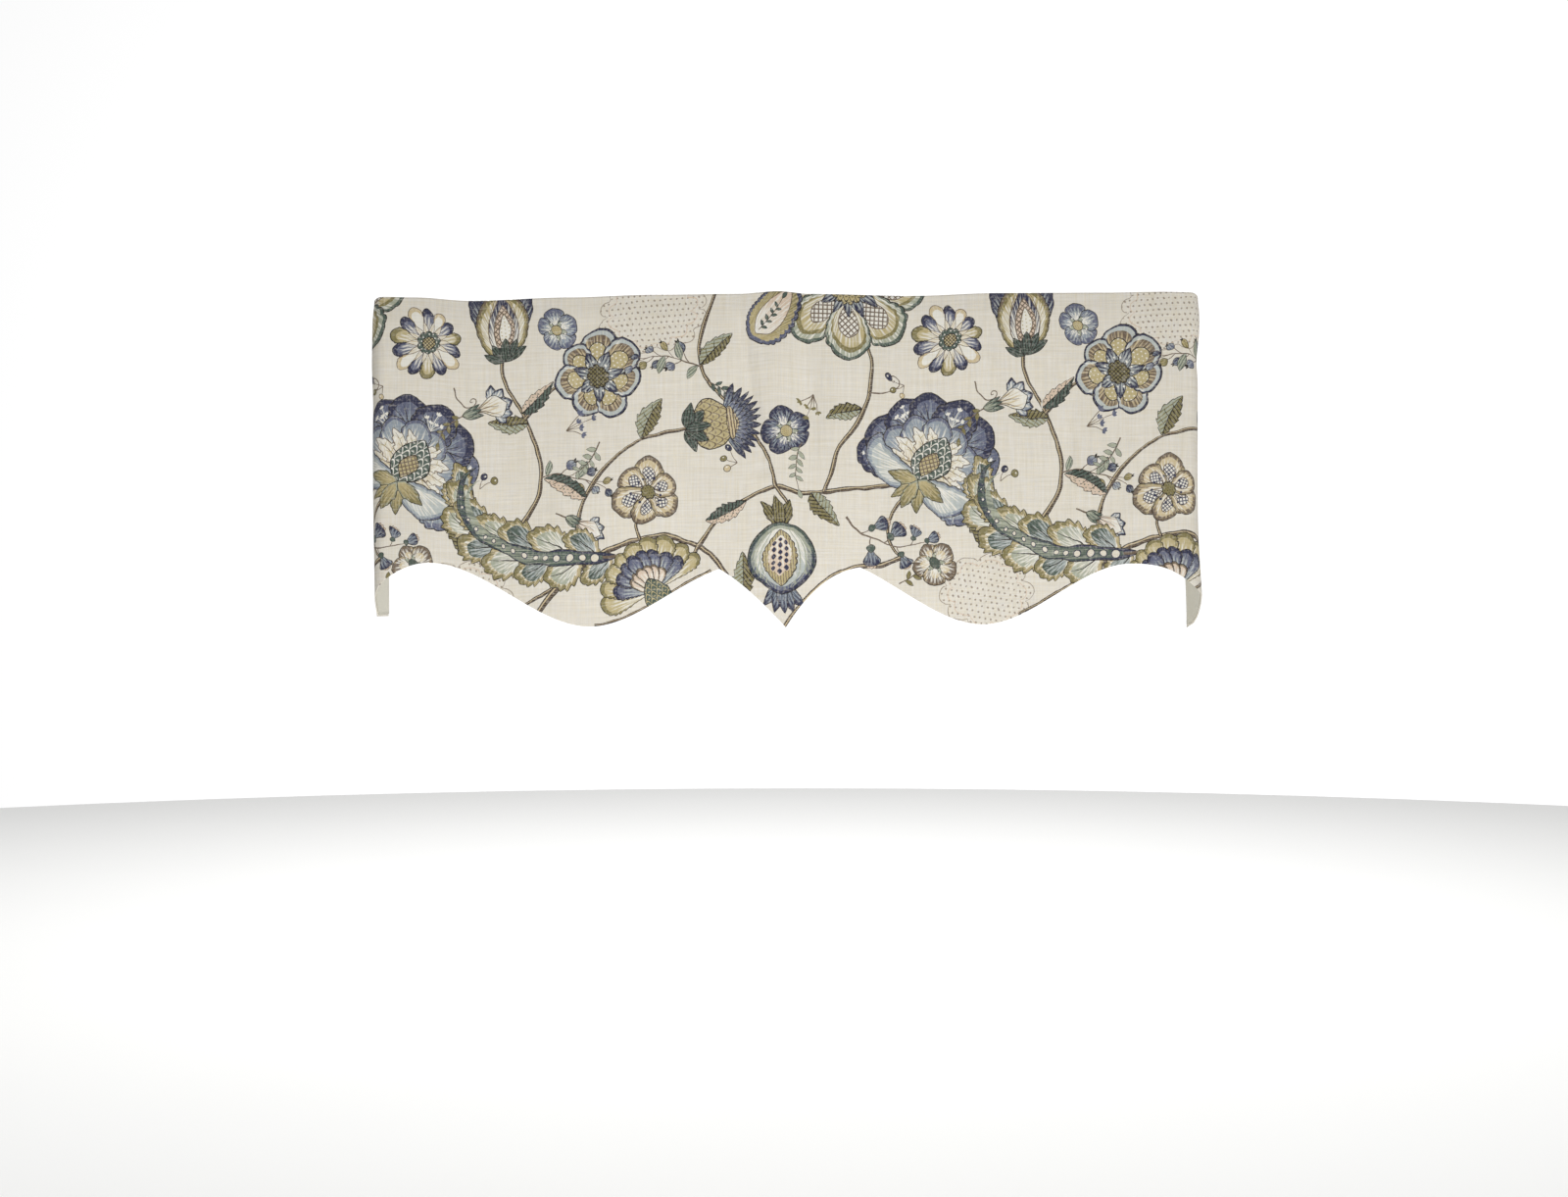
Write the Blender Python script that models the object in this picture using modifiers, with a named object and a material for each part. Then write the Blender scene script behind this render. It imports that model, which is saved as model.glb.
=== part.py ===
"""A shaped, lined window valance: printed face cloth with two returns, and its plain lining.

Metres, +Z up. The front faces -Y and runs along X, the returns run back along +Y.
The origin is the middle of the top edge, where a rod behind the cloth holds it up.
Each cloth is worked out as a sheet on two coordinates: `along`, the way round the
valance from the middle of the front, and `down`, the drop below the top line.
"""

import math
from typing import NamedTuple

import bmesh
import bpy

MM = 0.001


class HemPoint(NamedTuple):
    """A place on the lower edge, in mm; the slopes are mm of drop for each mm along."""

    along: float
    drop: float
    slope_before: float
    slope_after: float


class TopPoint(NamedTuple):
    """A place on the top edge, in mm."""

    along: float
    rise: float


class Swell(NamedTuple):
    """A soft swell of the cloth, or with a negative height a hollow, in mm."""

    along: float
    down: float
    half_width: float
    half_height: float
    out: float


# Driving sizes
FRONT_HALF = 0.542        # from the middle of the front to the outside of a return
RETURN_DEPTH = 0.093      # from the front's outside to the back edge of a return
CORNER_RADIUS = 0.020     # outside radius of the two soft upright corners
FACE_THICK = 0.0014       # printed cloth
LINING_THICK = 0.0010     # plain lining
PIECE_GAP = 0.0003        # air between the face cloth and the lining
HEADING_DROP = 0.030      # how far the top is turned down over the back of the lining
HEADING_SLACK = 0.0003    # how much more open the turned top is than its layers need
LINING_TOP = 0.006        # the lining's top edge below the top line, under the turned heading
LINING_SHORT = 0.003      # how much shorter the lining is than the hem
ROD_BAND = 0.078          # depth of the flat band where the cloth lies over its rod

# Worked out from them
FOLD_RADIUS = FACE_THICK + PIECE_GAP + LINING_THICK / 2 + HEADING_SLACK
FRONT_FLAT = FRONT_HALF - CORNER_RADIUS
CORNER_LENGTH = CORNER_RADIUS * math.pi / 2
CORNER_END = FRONT_FLAT + CORNER_LENGTH
CLOTH_HALF = CORNER_END + RETURN_DEPTH - CORNER_RADIUS
LINING_INSET = FACE_THICK + PIECE_GAP

# How finely the sheets are divided
STEP_FRONT = 0.0165
STEP_CORNER = 0.0064
STEP_RETURN = 0.024
FOLD_STEPS = 5
BAND_ROWS = (FOLD_RADIUS, HEADING_DROP / 2, HEADING_DROP, 0.054, 0.070)     # drops over the band
DROP_ROWS = (0.0, 0.05, 0.12, 0.25, 0.42, 0.60, 0.80, 1.0)   # shares of the rest, to the hem

# Lower edge, from the left return to the right one
HEM = (
    HemPoint(-627, 427, 0.00, 0.00),      # back edge of the left return
    HemPoint(-563, 427, 0.00, -1.90),     # the return's straight hem ends
    HemPoint(-533, 382, -0.85, -0.85),    # left corner
    HemPoint(-470, 356, 0.00, 0.00),      # outer left arch
    HemPoint(-258, 440, 0.00, 0.00),      # left low point
    HemPoint(-88, 364, -0.33, 0.58),      # inner left arch, slightly peaked
    HemPoint(0, 441, 1.08, -1.62),        # centre point
    HemPoint(98, 362, -0.12, 0.46),       # inner right arch
    HemPoint(259, 437, 0.00, 0.00),       # right low point
    HemPoint(455, 357, 0.00, 0.00),       # outer right arch
    HemPoint(531, 381, 0.85, 0.85),       # right corner
    HemPoint(562, 404, 0.55, 0.55),       # the right return's hem runs on down
    HemPoint(608, 436, 0.55, 0.30),
    HemPoint(627, 441, 0.15, 0.00),       # back edge of the right return
)

# Top edge, which the rod doesn't hold quite level
TOP = (
    TopPoint(-627, -8.0),
    TopPoint(-552, -8.0),
    TopPoint(-530, -5.3),
    TopPoint(-489, -6.1),
    TopPoint(-416, -10.7),
    TopPoint(-286, -6.1),
    TopPoint(-177, -2.6),
    TopPoint(-65, -1.4),
    TopPoint(-10, 2.2),                   # small hump beside the middle
    TopPoint(32, -1.4),
    TopPoint(165, -4.1),
    TopPoint(280, -0.3),
    TopPoint(420, 0.3),
    TopPoint(497, 1.5),
    TopPoint(530, 0.8),
    TopPoint(552, -2.0),
    TopPoint(627, -2.0),
)

# Soft hollows and swells of the hanging cloth
SWELLS = (
    Swell(-247, 88, 20, 75, -3.0),        # hollow across the foot of the band
    Swell(-22, 110, 22, 130, -3.6),       # hollow under the hump in the top edge
    Swell(48, 120, 26, 110, -2.0),
    Swell(378, 195, 24, 70, -2.2),
    Swell(10, 30, 40, 60, 1.6),           # hump in the band
    Swell(-258, 400, 95, 210, 5.0),       # the two wide low points swing forward
    Swell(259, 400, 95, 210, 4.4),
    Swell(-380, 330, 60, 170, -4.2),      # and the cloth between them swings back
    Swell(-128, 330, 55, 170, -4.0),
    Swell(125, 330, 52, 160, -4.4),
    Swell(372, 350, 60, 170, -3.6),
    Swell(0, 430, 48, 130, 3.4),          # centre point
    Swell(-478, 300, 48, 190, 2.6),
    Swell(470, 310, 50, 190, 2.4),
    Swell(-552, 205, 30, 150, 2.2),       # the left corner bellies out below the band
    Swell(552, 86, 34, 26, -3.6),         # the right corner is pinched under the band
    Swell(606, 430, 62, 130, 7.0),        # the right return flares at its hem
    Swell(-606, 420, 60, 120, -2.0),
)
SWELL_START = 0.060       # the swells and hollows fade in over this much of the drop
BAND_SET_BACK = 0.0032    # the cloth falls back this far below the rod band
BAND_EASE = 0.045         # over this much of the drop

FACE_COLOUR = (0.66, 0.62, 0.52, 1.0)
LINING_COLOUR = (0.60, 0.57, 0.49, 1.0)
CLOTH_ROUGHNESS = 0.92


def ease(share):
    """A soft step from 0 to 1 as share goes from 0 to 1."""
    share = min(max(share, 0.0), 1.0)
    return share * share * (3 - 2 * share)


def hermite(start, end, slope_start, slope_end, length, share):
    """A curve between two values with a slope at each, length apart."""
    rest = 1 - share
    return (start * rest * rest * (1 + 2 * share) + end * share * share * (3 - 2 * share)
            + length * (slope_start * share * rest * rest - slope_end * rest * share * share))


def stretch_of(points, along_mm):
    """The two neighbouring table rows that hold a place."""
    after = next(i for i, point in enumerate(points[1:], 1)
                 if along_mm <= point.along or i == len(points) - 1)
    return points[after - 1], points[after]


def hem_drop(along):
    """Drop of the lower edge below the origin's level."""
    place = min(max(along / MM, HEM[0].along), HEM[-1].along)
    start, end = stretch_of(HEM, place)
    length = end.along - start.along
    share = (place - start.along) / length
    return MM * hermite(start.drop, end.drop, start.slope_after, end.slope_before, length, share)


def top_line(along):
    """Height of the top edge."""
    place = min(max(along / MM, TOP[0].along), TOP[-1].along)
    start, end = stretch_of(TOP, place)
    share = ease((place - start.along) / (end.along - start.along))
    return MM * (start.rise + (end.rise - start.rise) * share)


def plan(along, inset):
    """The place in plan, at an inset from the outside of the cloth."""
    side = math.copysign(1, along)
    reach = abs(along)
    if reach <= FRONT_FLAT:
        turn, x, y = 0.0, reach, -FOLD_RADIUS
    elif reach <= CORNER_END:
        turn = (reach - FRONT_FLAT) / CORNER_RADIUS
        x = FRONT_FLAT + CORNER_RADIUS * math.sin(turn)
        y = CORNER_RADIUS * (1 - math.cos(turn)) - FOLD_RADIUS
    else:
        turn = math.pi / 2
        x, y = FRONT_HALF, CORNER_RADIUS + reach - CORNER_END - FOLD_RADIUS
    out_x, out_y = math.sin(turn), -math.cos(turn)
    return side * (x - out_x * inset), y - out_y * inset


def relief(along, down):
    """How far the cloth stands out from its plain shape, at a drop below the top line."""
    out = -BAND_SET_BACK * ease((down - ROD_BAND) / BAND_EASE)
    for swell in SWELLS:
        across = (along / MM - swell.along) / swell.half_width
        updown = (down / MM - swell.down) / swell.half_height
        out += MM * swell.out * math.exp(-across * across - updown * updown)
    return out * ease(down / SWELL_START)


def step_at(reach):
    """The widest step between columns of points, at a distance from the middle."""
    if reach < FRONT_FLAT:
        return STEP_FRONT
    return STEP_CORNER if reach < CORNER_END else STEP_RETURN


def stations():
    """The places along the cloth where the sheets have a column of points."""
    bends = [-CLOTH_HALF, -CORNER_END, -FRONT_FLAT, FRONT_FLAT, CORNER_END, CLOTH_HALF]
    keys = sorted(bends + [point.along * MM for point in HEM[1:-1]])
    places = [keys[0]]
    for start, end in zip(keys, keys[1:]):
        step = step_at(abs(start + end) / 2)
        count = max(1, math.ceil((end - start) / step))
        places += [start + (end - start) * (n + 1) / count for n in range(count)]
    return places


def hanging_rows(along):
    """Points of the hanging part of a column, from the hem to the fold, as down and inset."""
    length = hem_drop(along) + top_line(along)
    drops = list(BAND_ROWS) + [ROD_BAND + (length - ROD_BAND) * share for share in DROP_ROWS]
    return [(down, 0.0) for down in reversed(drops)]


def face_rows(along):
    """A column of the face cloth: the hem, up the front, over the fold and down the back."""
    fold = []
    for step in range(1, FOLD_STEPS):
        turn = math.pi * step / FOLD_STEPS
        fold.append((FOLD_RADIUS * (1 - math.sin(turn)), FOLD_RADIUS * (1 - math.cos(turn))))
    heading = [(down, 2 * FOLD_RADIUS) for down in BAND_ROWS if down <= HEADING_DROP]
    return hanging_rows(along) + fold + heading


def shorten(columns, row, next_row, cut):
    """Move one edge of a sheet towards its next row of points, staying on the same slope."""
    for column in columns:
        edge, inner = column[row].co, column[next_row].co
        edge += (inner - edge).normalized() * cut


def cloth(name, rows_of, inset, thick, colour, collection, cuts=(0.0, 0.0)):
    """A sheet with a column of points at every station, with its thickness to the inside.

    cuts says how much is taken off its lower and its upper edge.
    """
    places = stations()
    columns = [rows_of(along) for along in places]
    across, up = len(places) - 1, len(columns[0]) - 1
    sheet = bmesh.new()
    bmesh.ops.create_grid(sheet, x_segments=across, y_segments=up, size=1.0)
    points = [[None] * (up + 1) for _ in places]
    for point in sheet.verts:
        column = round((point.co.x + 1) / 2 * across)
        row = round((point.co.y + 1) / 2 * up)
        points[column][row] = point
        along, (down, depth) = places[column], columns[column][row]
        x, y = plan(along, depth - relief(along, down))
        point.co = (x, y, top_line(along) - down)
    sheet.normal_update()
    shifts = [(point, point.normal * inset) for point in sheet.verts]
    for point, shift in shifts:
        point.co -= shift
    shorten(points, 0, 1, cuts[0])
    shorten(points, up, up - 1, cuts[1])
    mesh = bpy.data.meshes.new(name)
    sheet.to_mesh(mesh)
    sheet.free()
    mesh.shade_smooth()
    piece = bpy.data.objects.new(name, mesh)
    collection.objects.link(piece)
    shell = piece.modifiers.new("thickness", "SOLIDIFY")
    shell.thickness = thick
    shell.offset = -1.0
    shell.use_even_offset = True
    material = bpy.data.materials.new(name)
    material.use_nodes = True
    surface = material.node_tree.nodes["Principled BSDF"]
    surface.inputs["Base Color"].default_value = colour
    surface.inputs["Roughness"].default_value = CLOTH_ROUGHNESS
    mesh.materials.append(material)
    return piece


def main():
    """Build the two cloths."""
    for old in list(bpy.data.objects):
        bpy.data.objects.remove(old)
    valance = bpy.data.collections.new("window_valance")
    bpy.context.scene.collection.children.link(valance)
    cloth("face_cloth", face_rows, 0.0, FACE_THICK, FACE_COLOUR, valance)
    cloth("lining", hanging_rows, LINING_INSET, LINING_THICK, LINING_COLOUR, valance,
          cuts=(LINING_SHORT, LINING_TOP - FOLD_RADIUS))


main()
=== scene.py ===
"""A shaped, lined window valance with a printed floral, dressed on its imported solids.

Metres, +Z up, the front faces -Y. The print is drawn in millimetres on the flat cloth,
as complex numbers: the real part runs along the cloth, the imaginary part up it.
"""

import cmath
import logging
import math
from dataclasses import dataclass, field, replace
from enum import Enum
from typing import NamedTuple, Sequence

import bmesh
import bpy
import numpy as np
from bmesh.types import BMEdge, BMesh, BMVert
from bpy.types import Material, Mesh, Node, NodeSocket as Socket, NodeTree, Object
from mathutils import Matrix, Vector, geometry, noise


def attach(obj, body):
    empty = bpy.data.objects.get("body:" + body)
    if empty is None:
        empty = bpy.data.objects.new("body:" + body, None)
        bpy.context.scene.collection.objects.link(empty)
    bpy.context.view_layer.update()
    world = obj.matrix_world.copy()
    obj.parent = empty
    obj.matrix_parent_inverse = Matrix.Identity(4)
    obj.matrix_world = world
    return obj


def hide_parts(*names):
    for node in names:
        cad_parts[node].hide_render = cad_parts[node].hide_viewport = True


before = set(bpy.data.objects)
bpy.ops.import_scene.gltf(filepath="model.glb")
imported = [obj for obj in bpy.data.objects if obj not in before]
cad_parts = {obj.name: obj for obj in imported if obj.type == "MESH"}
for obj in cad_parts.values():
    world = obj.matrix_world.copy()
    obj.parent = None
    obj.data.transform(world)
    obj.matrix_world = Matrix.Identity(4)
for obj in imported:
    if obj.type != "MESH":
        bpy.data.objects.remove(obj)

LOG = logging.getLogger("valance")
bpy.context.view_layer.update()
MM = 0.001
TAU = 2 * math.pi
Array = np.ndarray
Triple = tuple[float, float, float]


# --- shape of the cloth


class HemPoint(NamedTuple):
    """A place on the lower edge, in mm; the slopes are mm of drop for each mm along."""

    along: float
    drop: float
    slope_before: float
    slope_after: float


class TopPoint(NamedTuple):
    """A place on the top edge, in mm."""

    along: float
    rise: float


class Swell(NamedTuple):
    """A soft swell of the cloth, or with a negative height a hollow, in mm."""

    along: float
    down: float
    half_width: float
    half_height: float
    out: float


class Crease(NamedTuple):
    """A soft narrow ridge or trough from one place on the cloth to another, in mm."""

    along: float
    down: float
    to_along: float
    to_down: float
    half_width: float
    out: float


HEM = tuple(HemPoint(*row) for row in (
    (-633, 427, 0.00, 0.00), (-568, 427, 0.00, -1.90), (-533, 382, -0.85, -0.85), (-470, 356, 0.00, 0.00),
    (-258, 440, 0.00, 0.00), (-88, 364, -0.33, 0.58), (0, 441, 1.08, -1.62), (98, 362, -0.12, 0.46),
    (259, 437, 0.00, 0.00), (455, 357, 0.00, 0.00), (531, 381, 0.85, 0.85), (567, 404, 0.55, 0.55),
    (614, 437, 0.55, 0.30), (633, 442, 0.15, 0.00),
))

TOP = tuple(TopPoint(*row) for row in (
    (-633, -8.0), (-558, -8.0), (-536, -5.3), (-489, -6.1), (-416, -10.7), (-286, -6.1), (-177, -2.6),
    (-65, -1.4), (-10, 2.2), (32, -1.4), (165, -4.1), (280, -0.3), (420, 0.3), (497, 1.5), (536, 0.8),
    (558, -2.0), (633, -2.0),
))

SWELLS = tuple(Swell(*row) for row in (
    (-262, 92, 24, 75, -2.2), (-48, 130, 28, 120, -1.8), (34, 130, 26, 110, -2.0),
    (372, 195, 24, 70, -2.0), (10, 30, 40, 60, 1.6), (-258, 400, 95, 210, 5.0), (259, 400, 95, 210, 4.4),
    (-380, 330, 60, 170, -4.2), (-128, 330, 55, 170, -4.0), (125, 330, 52, 160, -4.4),
    (372, 350, 60, 170, -3.6), (0, 430, 48, 130, 3.4), (-478, 300, 48, 190, 2.6),
    (470, 310, 50, 190, 2.4), (-558, 205, 30, 150, 2.2), (558, 86, 34, 26, -3.6), (585, 425, 50, 80, 9.0),
    (645, 360, 30, 260, -5.0), (-612, 420, 60, 120, -2.0),
))

CREASES = tuple(Crease(*row) for row in (
    (-278, 34, -260, 156, 8, -3.8), (-244, 50, -238, 138, 9, 0.8), (-62, 14, -30, 236, 8, -4.0),
    (-34, 12, -10, 190, 11, 0.8), (30, 40, 38, 232, 12, -2.6), (337, 112, 341, 198, 7, -3.8),
    (371, 168, 380, 250, 8, -3.2), (-534, 90, -525, 250, 9, 0.8), (-500, 82, -470, 118, 8, -0.7),
    (531, 84, 501, 104, 8, -0.8), (540, 96, 527, 190, 9, 0.9), (158, 84, 166, 190, 10, -0.5),
    (-392, 86, -398, 200, 10, -0.5), (300, 200, 286, 380, 12, 0.6), (-300, 210, -282, 390, 12, 0.6),
    (-60, 250, -28, 400, 9, -0.5),
))


def ease(share: Array) -> Array:
    """A soft step from 0 to 1 as share goes from 0 to 1."""
    share = np.clip(share, 0.0, 1.0)
    return share * share * (3 - 2 * share)


def between(table: Sequence[Sequence[float]], along: Array) -> tuple[Array, Array, Array]:
    """The rows of a table before and after places along the cloth, and how far they are between."""
    points = np.array(table)
    place = np.clip(along / MM, points[0, 0], points[-1, 0])
    at = np.clip(np.searchsorted(points[:, 0], place, side="left"), 1, len(points) - 1)
    start, end = points[at - 1], points[at]
    return start, end, (place - start[..., 0]) / (end[..., 0] - start[..., 0])


@dataclass(frozen=True)
class ClothForm:
    """The shape in which the valance hangs: that of its solids, with slightly deeper creases.

    A place is `along` the cloth from the middle of the front, and `down` its drop
    below the top line. All methods take and return arrays in metres.
    """

    front_half: float = 0.5478
    return_depth: float = 0.093
    corner_radius: float = 0.020
    face_thick: float = 0.0014
    lining_thick: float = 0.0010
    piece_gap: float = 0.0003
    heading_slack: float = 0.0003
    heading_drop: float = 0.030
    lining_top: float = 0.006
    lining_short: float = 0.003
    rod_band: float = 0.078
    swell_start: float = 0.060
    band_set_back: float = 0.0024
    band_ease: float = 0.070
    top_lean: float = 0.0022
    top_ease: float = 0.030
    probe: float = 0.0004

    @property
    def fold_radius(self) -> float:
        """Outside radius of the turned top."""
        return self.face_thick + self.piece_gap + self.lining_thick / 2 + self.heading_slack

    @property
    def front_flat(self) -> float:
        """Distance from the middle to where a corner starts."""
        return self.front_half - self.corner_radius

    @property
    def corner_end(self) -> float:
        """Distance from the middle to where a corner ends."""
        return self.front_flat + self.corner_radius * math.pi / 2

    @property
    def half(self) -> float:
        """Distance from the middle to a return's back edge."""
        return self.corner_end + self.return_depth - self.corner_radius

    @property
    def quarter_fold(self) -> float:
        """Cloth in a quarter turn of the fold at the top."""
        return self.fold_radius * math.pi / 2

    @property
    def heading_end(self) -> float:
        """How far the turned heading reaches over the back, from the crest."""
        return self.quarter_fold + self.heading_drop - self.fold_radius

    def hem(self, along: Array) -> Array:
        """Drop of the lower edge below the origin's level."""
        start, end, share = between(HEM, along)
        length, rest = end[..., 0] - start[..., 0], 1 - share
        drop = start[..., 1] * rest * rest * (1 + 2 * share)
        drop += end[..., 1] * share * share * (3 - 2 * share)
        drop += length * start[..., 3] * share * rest * rest
        drop -= length * end[..., 2] * rest * share * share
        return drop * MM

    def top(self, along: Array) -> Array:
        """Height of the top edge."""
        start, end, share = between(TOP, along)
        return (start[..., 1] + (end[..., 1] - start[..., 1]) * ease(share)) * MM

    def relief(self, along: Array, down: Array) -> Array:
        """How far the cloth stands out from its plain shape."""
        out = -self.band_set_back * ease((down - self.rod_band) / self.band_ease)
        x, y = along / MM, down / MM
        for swell in SWELLS:
            across = (x - swell.along) / swell.half_width
            updown = (y - swell.down) / swell.half_height
            out = out + MM * swell.out * np.exp(-across * across - updown * updown)
        for crease in CREASES:
            start = complex(crease.along, crease.down)
            line = complex(crease.to_along, crease.to_down) - start
            place = ((x + 1j * y) - start) / line
            past = np.abs(place.real - np.clip(place.real, 0.0, 1.0))
            away = np.hypot(place.imag, past) * abs(line) / crease.half_width
            fade = 0.35 + 0.65 * np.sin(math.pi * np.clip(place.real, 0.0, 1.0))
            out = out + MM * crease.out * fade * np.exp(-away * away)
        lean = self.top_lean * (1 - ease(down / self.top_ease))
        return out * ease(down / self.swell_start) - lean

    def plan(self, along: Array, inset: Array) -> tuple[Array, Array]:
        """The place in plan, at an inset from the outside of the cloth."""
        reach = np.abs(along)
        turn = np.clip((reach - self.front_flat) / self.corner_radius, 0.0, math.pi / 2)
        x = np.minimum(reach, self.front_flat) + self.corner_radius * np.sin(turn)
        y = self.corner_radius * (1 - np.cos(turn)) - self.fold_radius
        y = y + np.maximum(reach - self.corner_end, 0.0)
        side = np.where(along < 0, -1.0, 1.0)
        return side * (x - np.sin(turn) * inset), y + np.cos(turn) * inset

    def place(self, along: Array, cut: Array) -> Array:
        """Points of the cloth's outside.

        Args:
            along: distance along the cloth from the middle of the front.
            cut: distance down the cloth from the crest of the turned top; negative
                over the back.

        Returns:
            The points, with a last axis of 3.
        """
        radius, quarter = self.fold_radius, self.quarter_fold
        angle = np.clip(cut / radius, -math.pi / 2, math.pi / 2)
        straight = np.maximum(np.abs(cut) - quarter, 0.0)
        down = radius * (1 - np.cos(angle)) + straight
        inset = radius * (1 - np.sin(angle))
        x, y = self.plan(along, inset - self.relief(along, down))
        return np.stack([x, y, self.top(along) - down], axis=-1)

    def normal(self, along: Array, cut: Array) -> Array:
        """Outward directions of the cloth's outside."""
        across = self.place(along + self.probe, cut) - self.place(along - self.probe, cut)
        updown = self.place(along, cut - self.probe) - self.place(along, cut + self.probe)
        out = np.cross(across, updown)
        return out / np.linalg.norm(out, axis=-1, keepdims=True)

    def cut_of(self, down: Array) -> Array:
        """Distance down the cloth from its crest to a drop on the front."""
        return down - self.fold_radius + self.quarter_fold

    def hem_cut(self, along: Array) -> Array:
        """Distance down the cloth from its crest to the lower edge."""
        return self.cut_of(self.hem(along) + self.top(along))


# --- drawing the print


class Ink(Enum):
    """The print's colours, as red, green and blue on a screen."""

    GROUND = (0.840, 0.816, 0.765)
    CREAM = (0.872, 0.858, 0.816)
    NAVY = (0.196, 0.202, 0.290)
    INDIGO = (0.366, 0.382, 0.462)
    BLUE = (0.546, 0.580, 0.610)
    MIST = (0.688, 0.710, 0.698)
    OLIVE = (0.488, 0.455, 0.304)
    GOLD = (0.702, 0.648, 0.484)
    TAN = (0.768, 0.702, 0.562)
    BLUSH = (0.805, 0.726, 0.645)
    MOSS = (0.300, 0.350, 0.318)
    SAGE = (0.622, 0.638, 0.566)
    BROWN = (0.416, 0.360, 0.304)
    SOIL = (0.170, 0.152, 0.142)
    DUST = (0.590, 0.545, 0.488)

    @property
    def edge(self) -> "Ink":
        """The ink of the line around a shape in this one."""
        return BROWN if sum(self.value) > PALE_INK else SOIL


class Fill(Enum):
    """What a printed shape is filled with, beside its own colour."""

    PLAIN = 0
    FEATHER = 1
    DOTS = 2
    LATTICE = 3
    SCALES = 4
    HATCH = 5
    RAYS = 6
    BANDS = 7


GROUND, CREAM, NAVY, INDIGO, BLUE, MIST, OLIVE, GOLD, TAN, BLUSH, MOSS, SAGE, BROWN, SOIL, DUST = Ink
PLAIN, FEATHER, DOTS, LATTICE, SCALES, HATCH, RAYS, BANDS = Fill
PALE_INK = 2.1
SPINE_STEPS = 199
SEPAL = (MOSS, SOIL, HATCH, 3.4)


def polar(reach: float, turn: float) -> complex:
    """The place at a distance in a direction, in degrees."""
    return cmath.rect(reach, math.radians(turn))


@dataclass(frozen=True)
class Patch:
    """One printed shape: a closed outline on the flat cloth, in mm.

    The pattern in it is read at outline points times `unit` plus `shift`, after their
    conjugate is taken where `flip` is set.
    """

    outline: Array
    ink: Ink
    tint: Ink
    fill: Fill
    unit: complex
    shift: complex
    flip: bool

    @property
    def measure(self) -> float:
        """How long the pattern's unit is on the cloth, in mm."""
        return 1 / abs(self.unit) if self.unit else 1.0


@dataclass(frozen=True)
class Blade:
    """A leaf or petal that grows along +x from its base at 0, and may bend."""

    length: float
    width: float
    bend: float = 0.0
    peak: float = 0.5
    power: float = 1.0
    count: float = 0.0
    bite: float = 0.0
    sharp: bool = True
    hook: float = 0.0
    detail: int = 40

    def turn(self, share: Array) -> Array:
        """Which way the middle line runs, in radians, at shares of the length."""
        return self.bend * share + self.hook * share ** 4

    def heading(self, share: float) -> float:
        """Which way the middle line runs at one share of the length, in degrees."""
        return math.degrees(self.turn(share))

    def spine(self, share: Array) -> Array:
        """The middle line, at shares of the length."""
        fine = np.linspace(0, 1, SPINE_STEPS + 1)
        steps = np.exp(1j * self.turn(fine)) * self.length / SPINE_STEPS
        line = np.concatenate([[0], np.cumsum((steps[1:] + steps[:-1]) / 2)])
        return np.interp(share, fine, line.real) + 1j * np.interp(share, fine, line.imag)

    def spot(self, share: float) -> complex:
        """One place of the middle line."""
        return complex(self.spine(np.array(share)))

    def line(self, start: float, end: float, count: int) -> Array:
        """A few places of the middle line, evenly spaced."""
        return self.spine(np.linspace(start, end, count))

    def teeth(self, share: Array) -> Array:
        """How far an edge reaches as its teeth or scallops come and go."""
        phase = np.mod(share * self.count, 1.0)
        if self.sharp:
            return 1 - self.bite * (1 - phase ** 1.5)
        return 1 - self.bite * (1 - np.abs(np.sin(math.pi * phase)) ** 0.6)

    def reach(self, share: Array, side: float) -> Array:
        """Places on one edge, side 1 or -1; the middle line for side 0."""
        if not side:
            return self.spine(share)
        swell = np.sin(math.pi * share ** (math.log(0.5) / math.log(self.peak)))
        half = self.width / 2 * np.clip(swell, 0, 1) ** self.power
        if self.count:
            half = half * self.teeth(share)
        return self.spine(share) + 1j * side * np.exp(1j * self.turn(share)) * half

    def outline(self, first: int = -1, second: int = 1) -> Array:
        """The closed outline between two sides: -1, 0 for the middle line, or 1."""
        share = np.linspace(0, 1, max(self.detail, int(self.count * 9)))
        return np.concatenate([self.reach(share, first), self.reach(share, second)[::-1][1:-1]])


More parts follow.
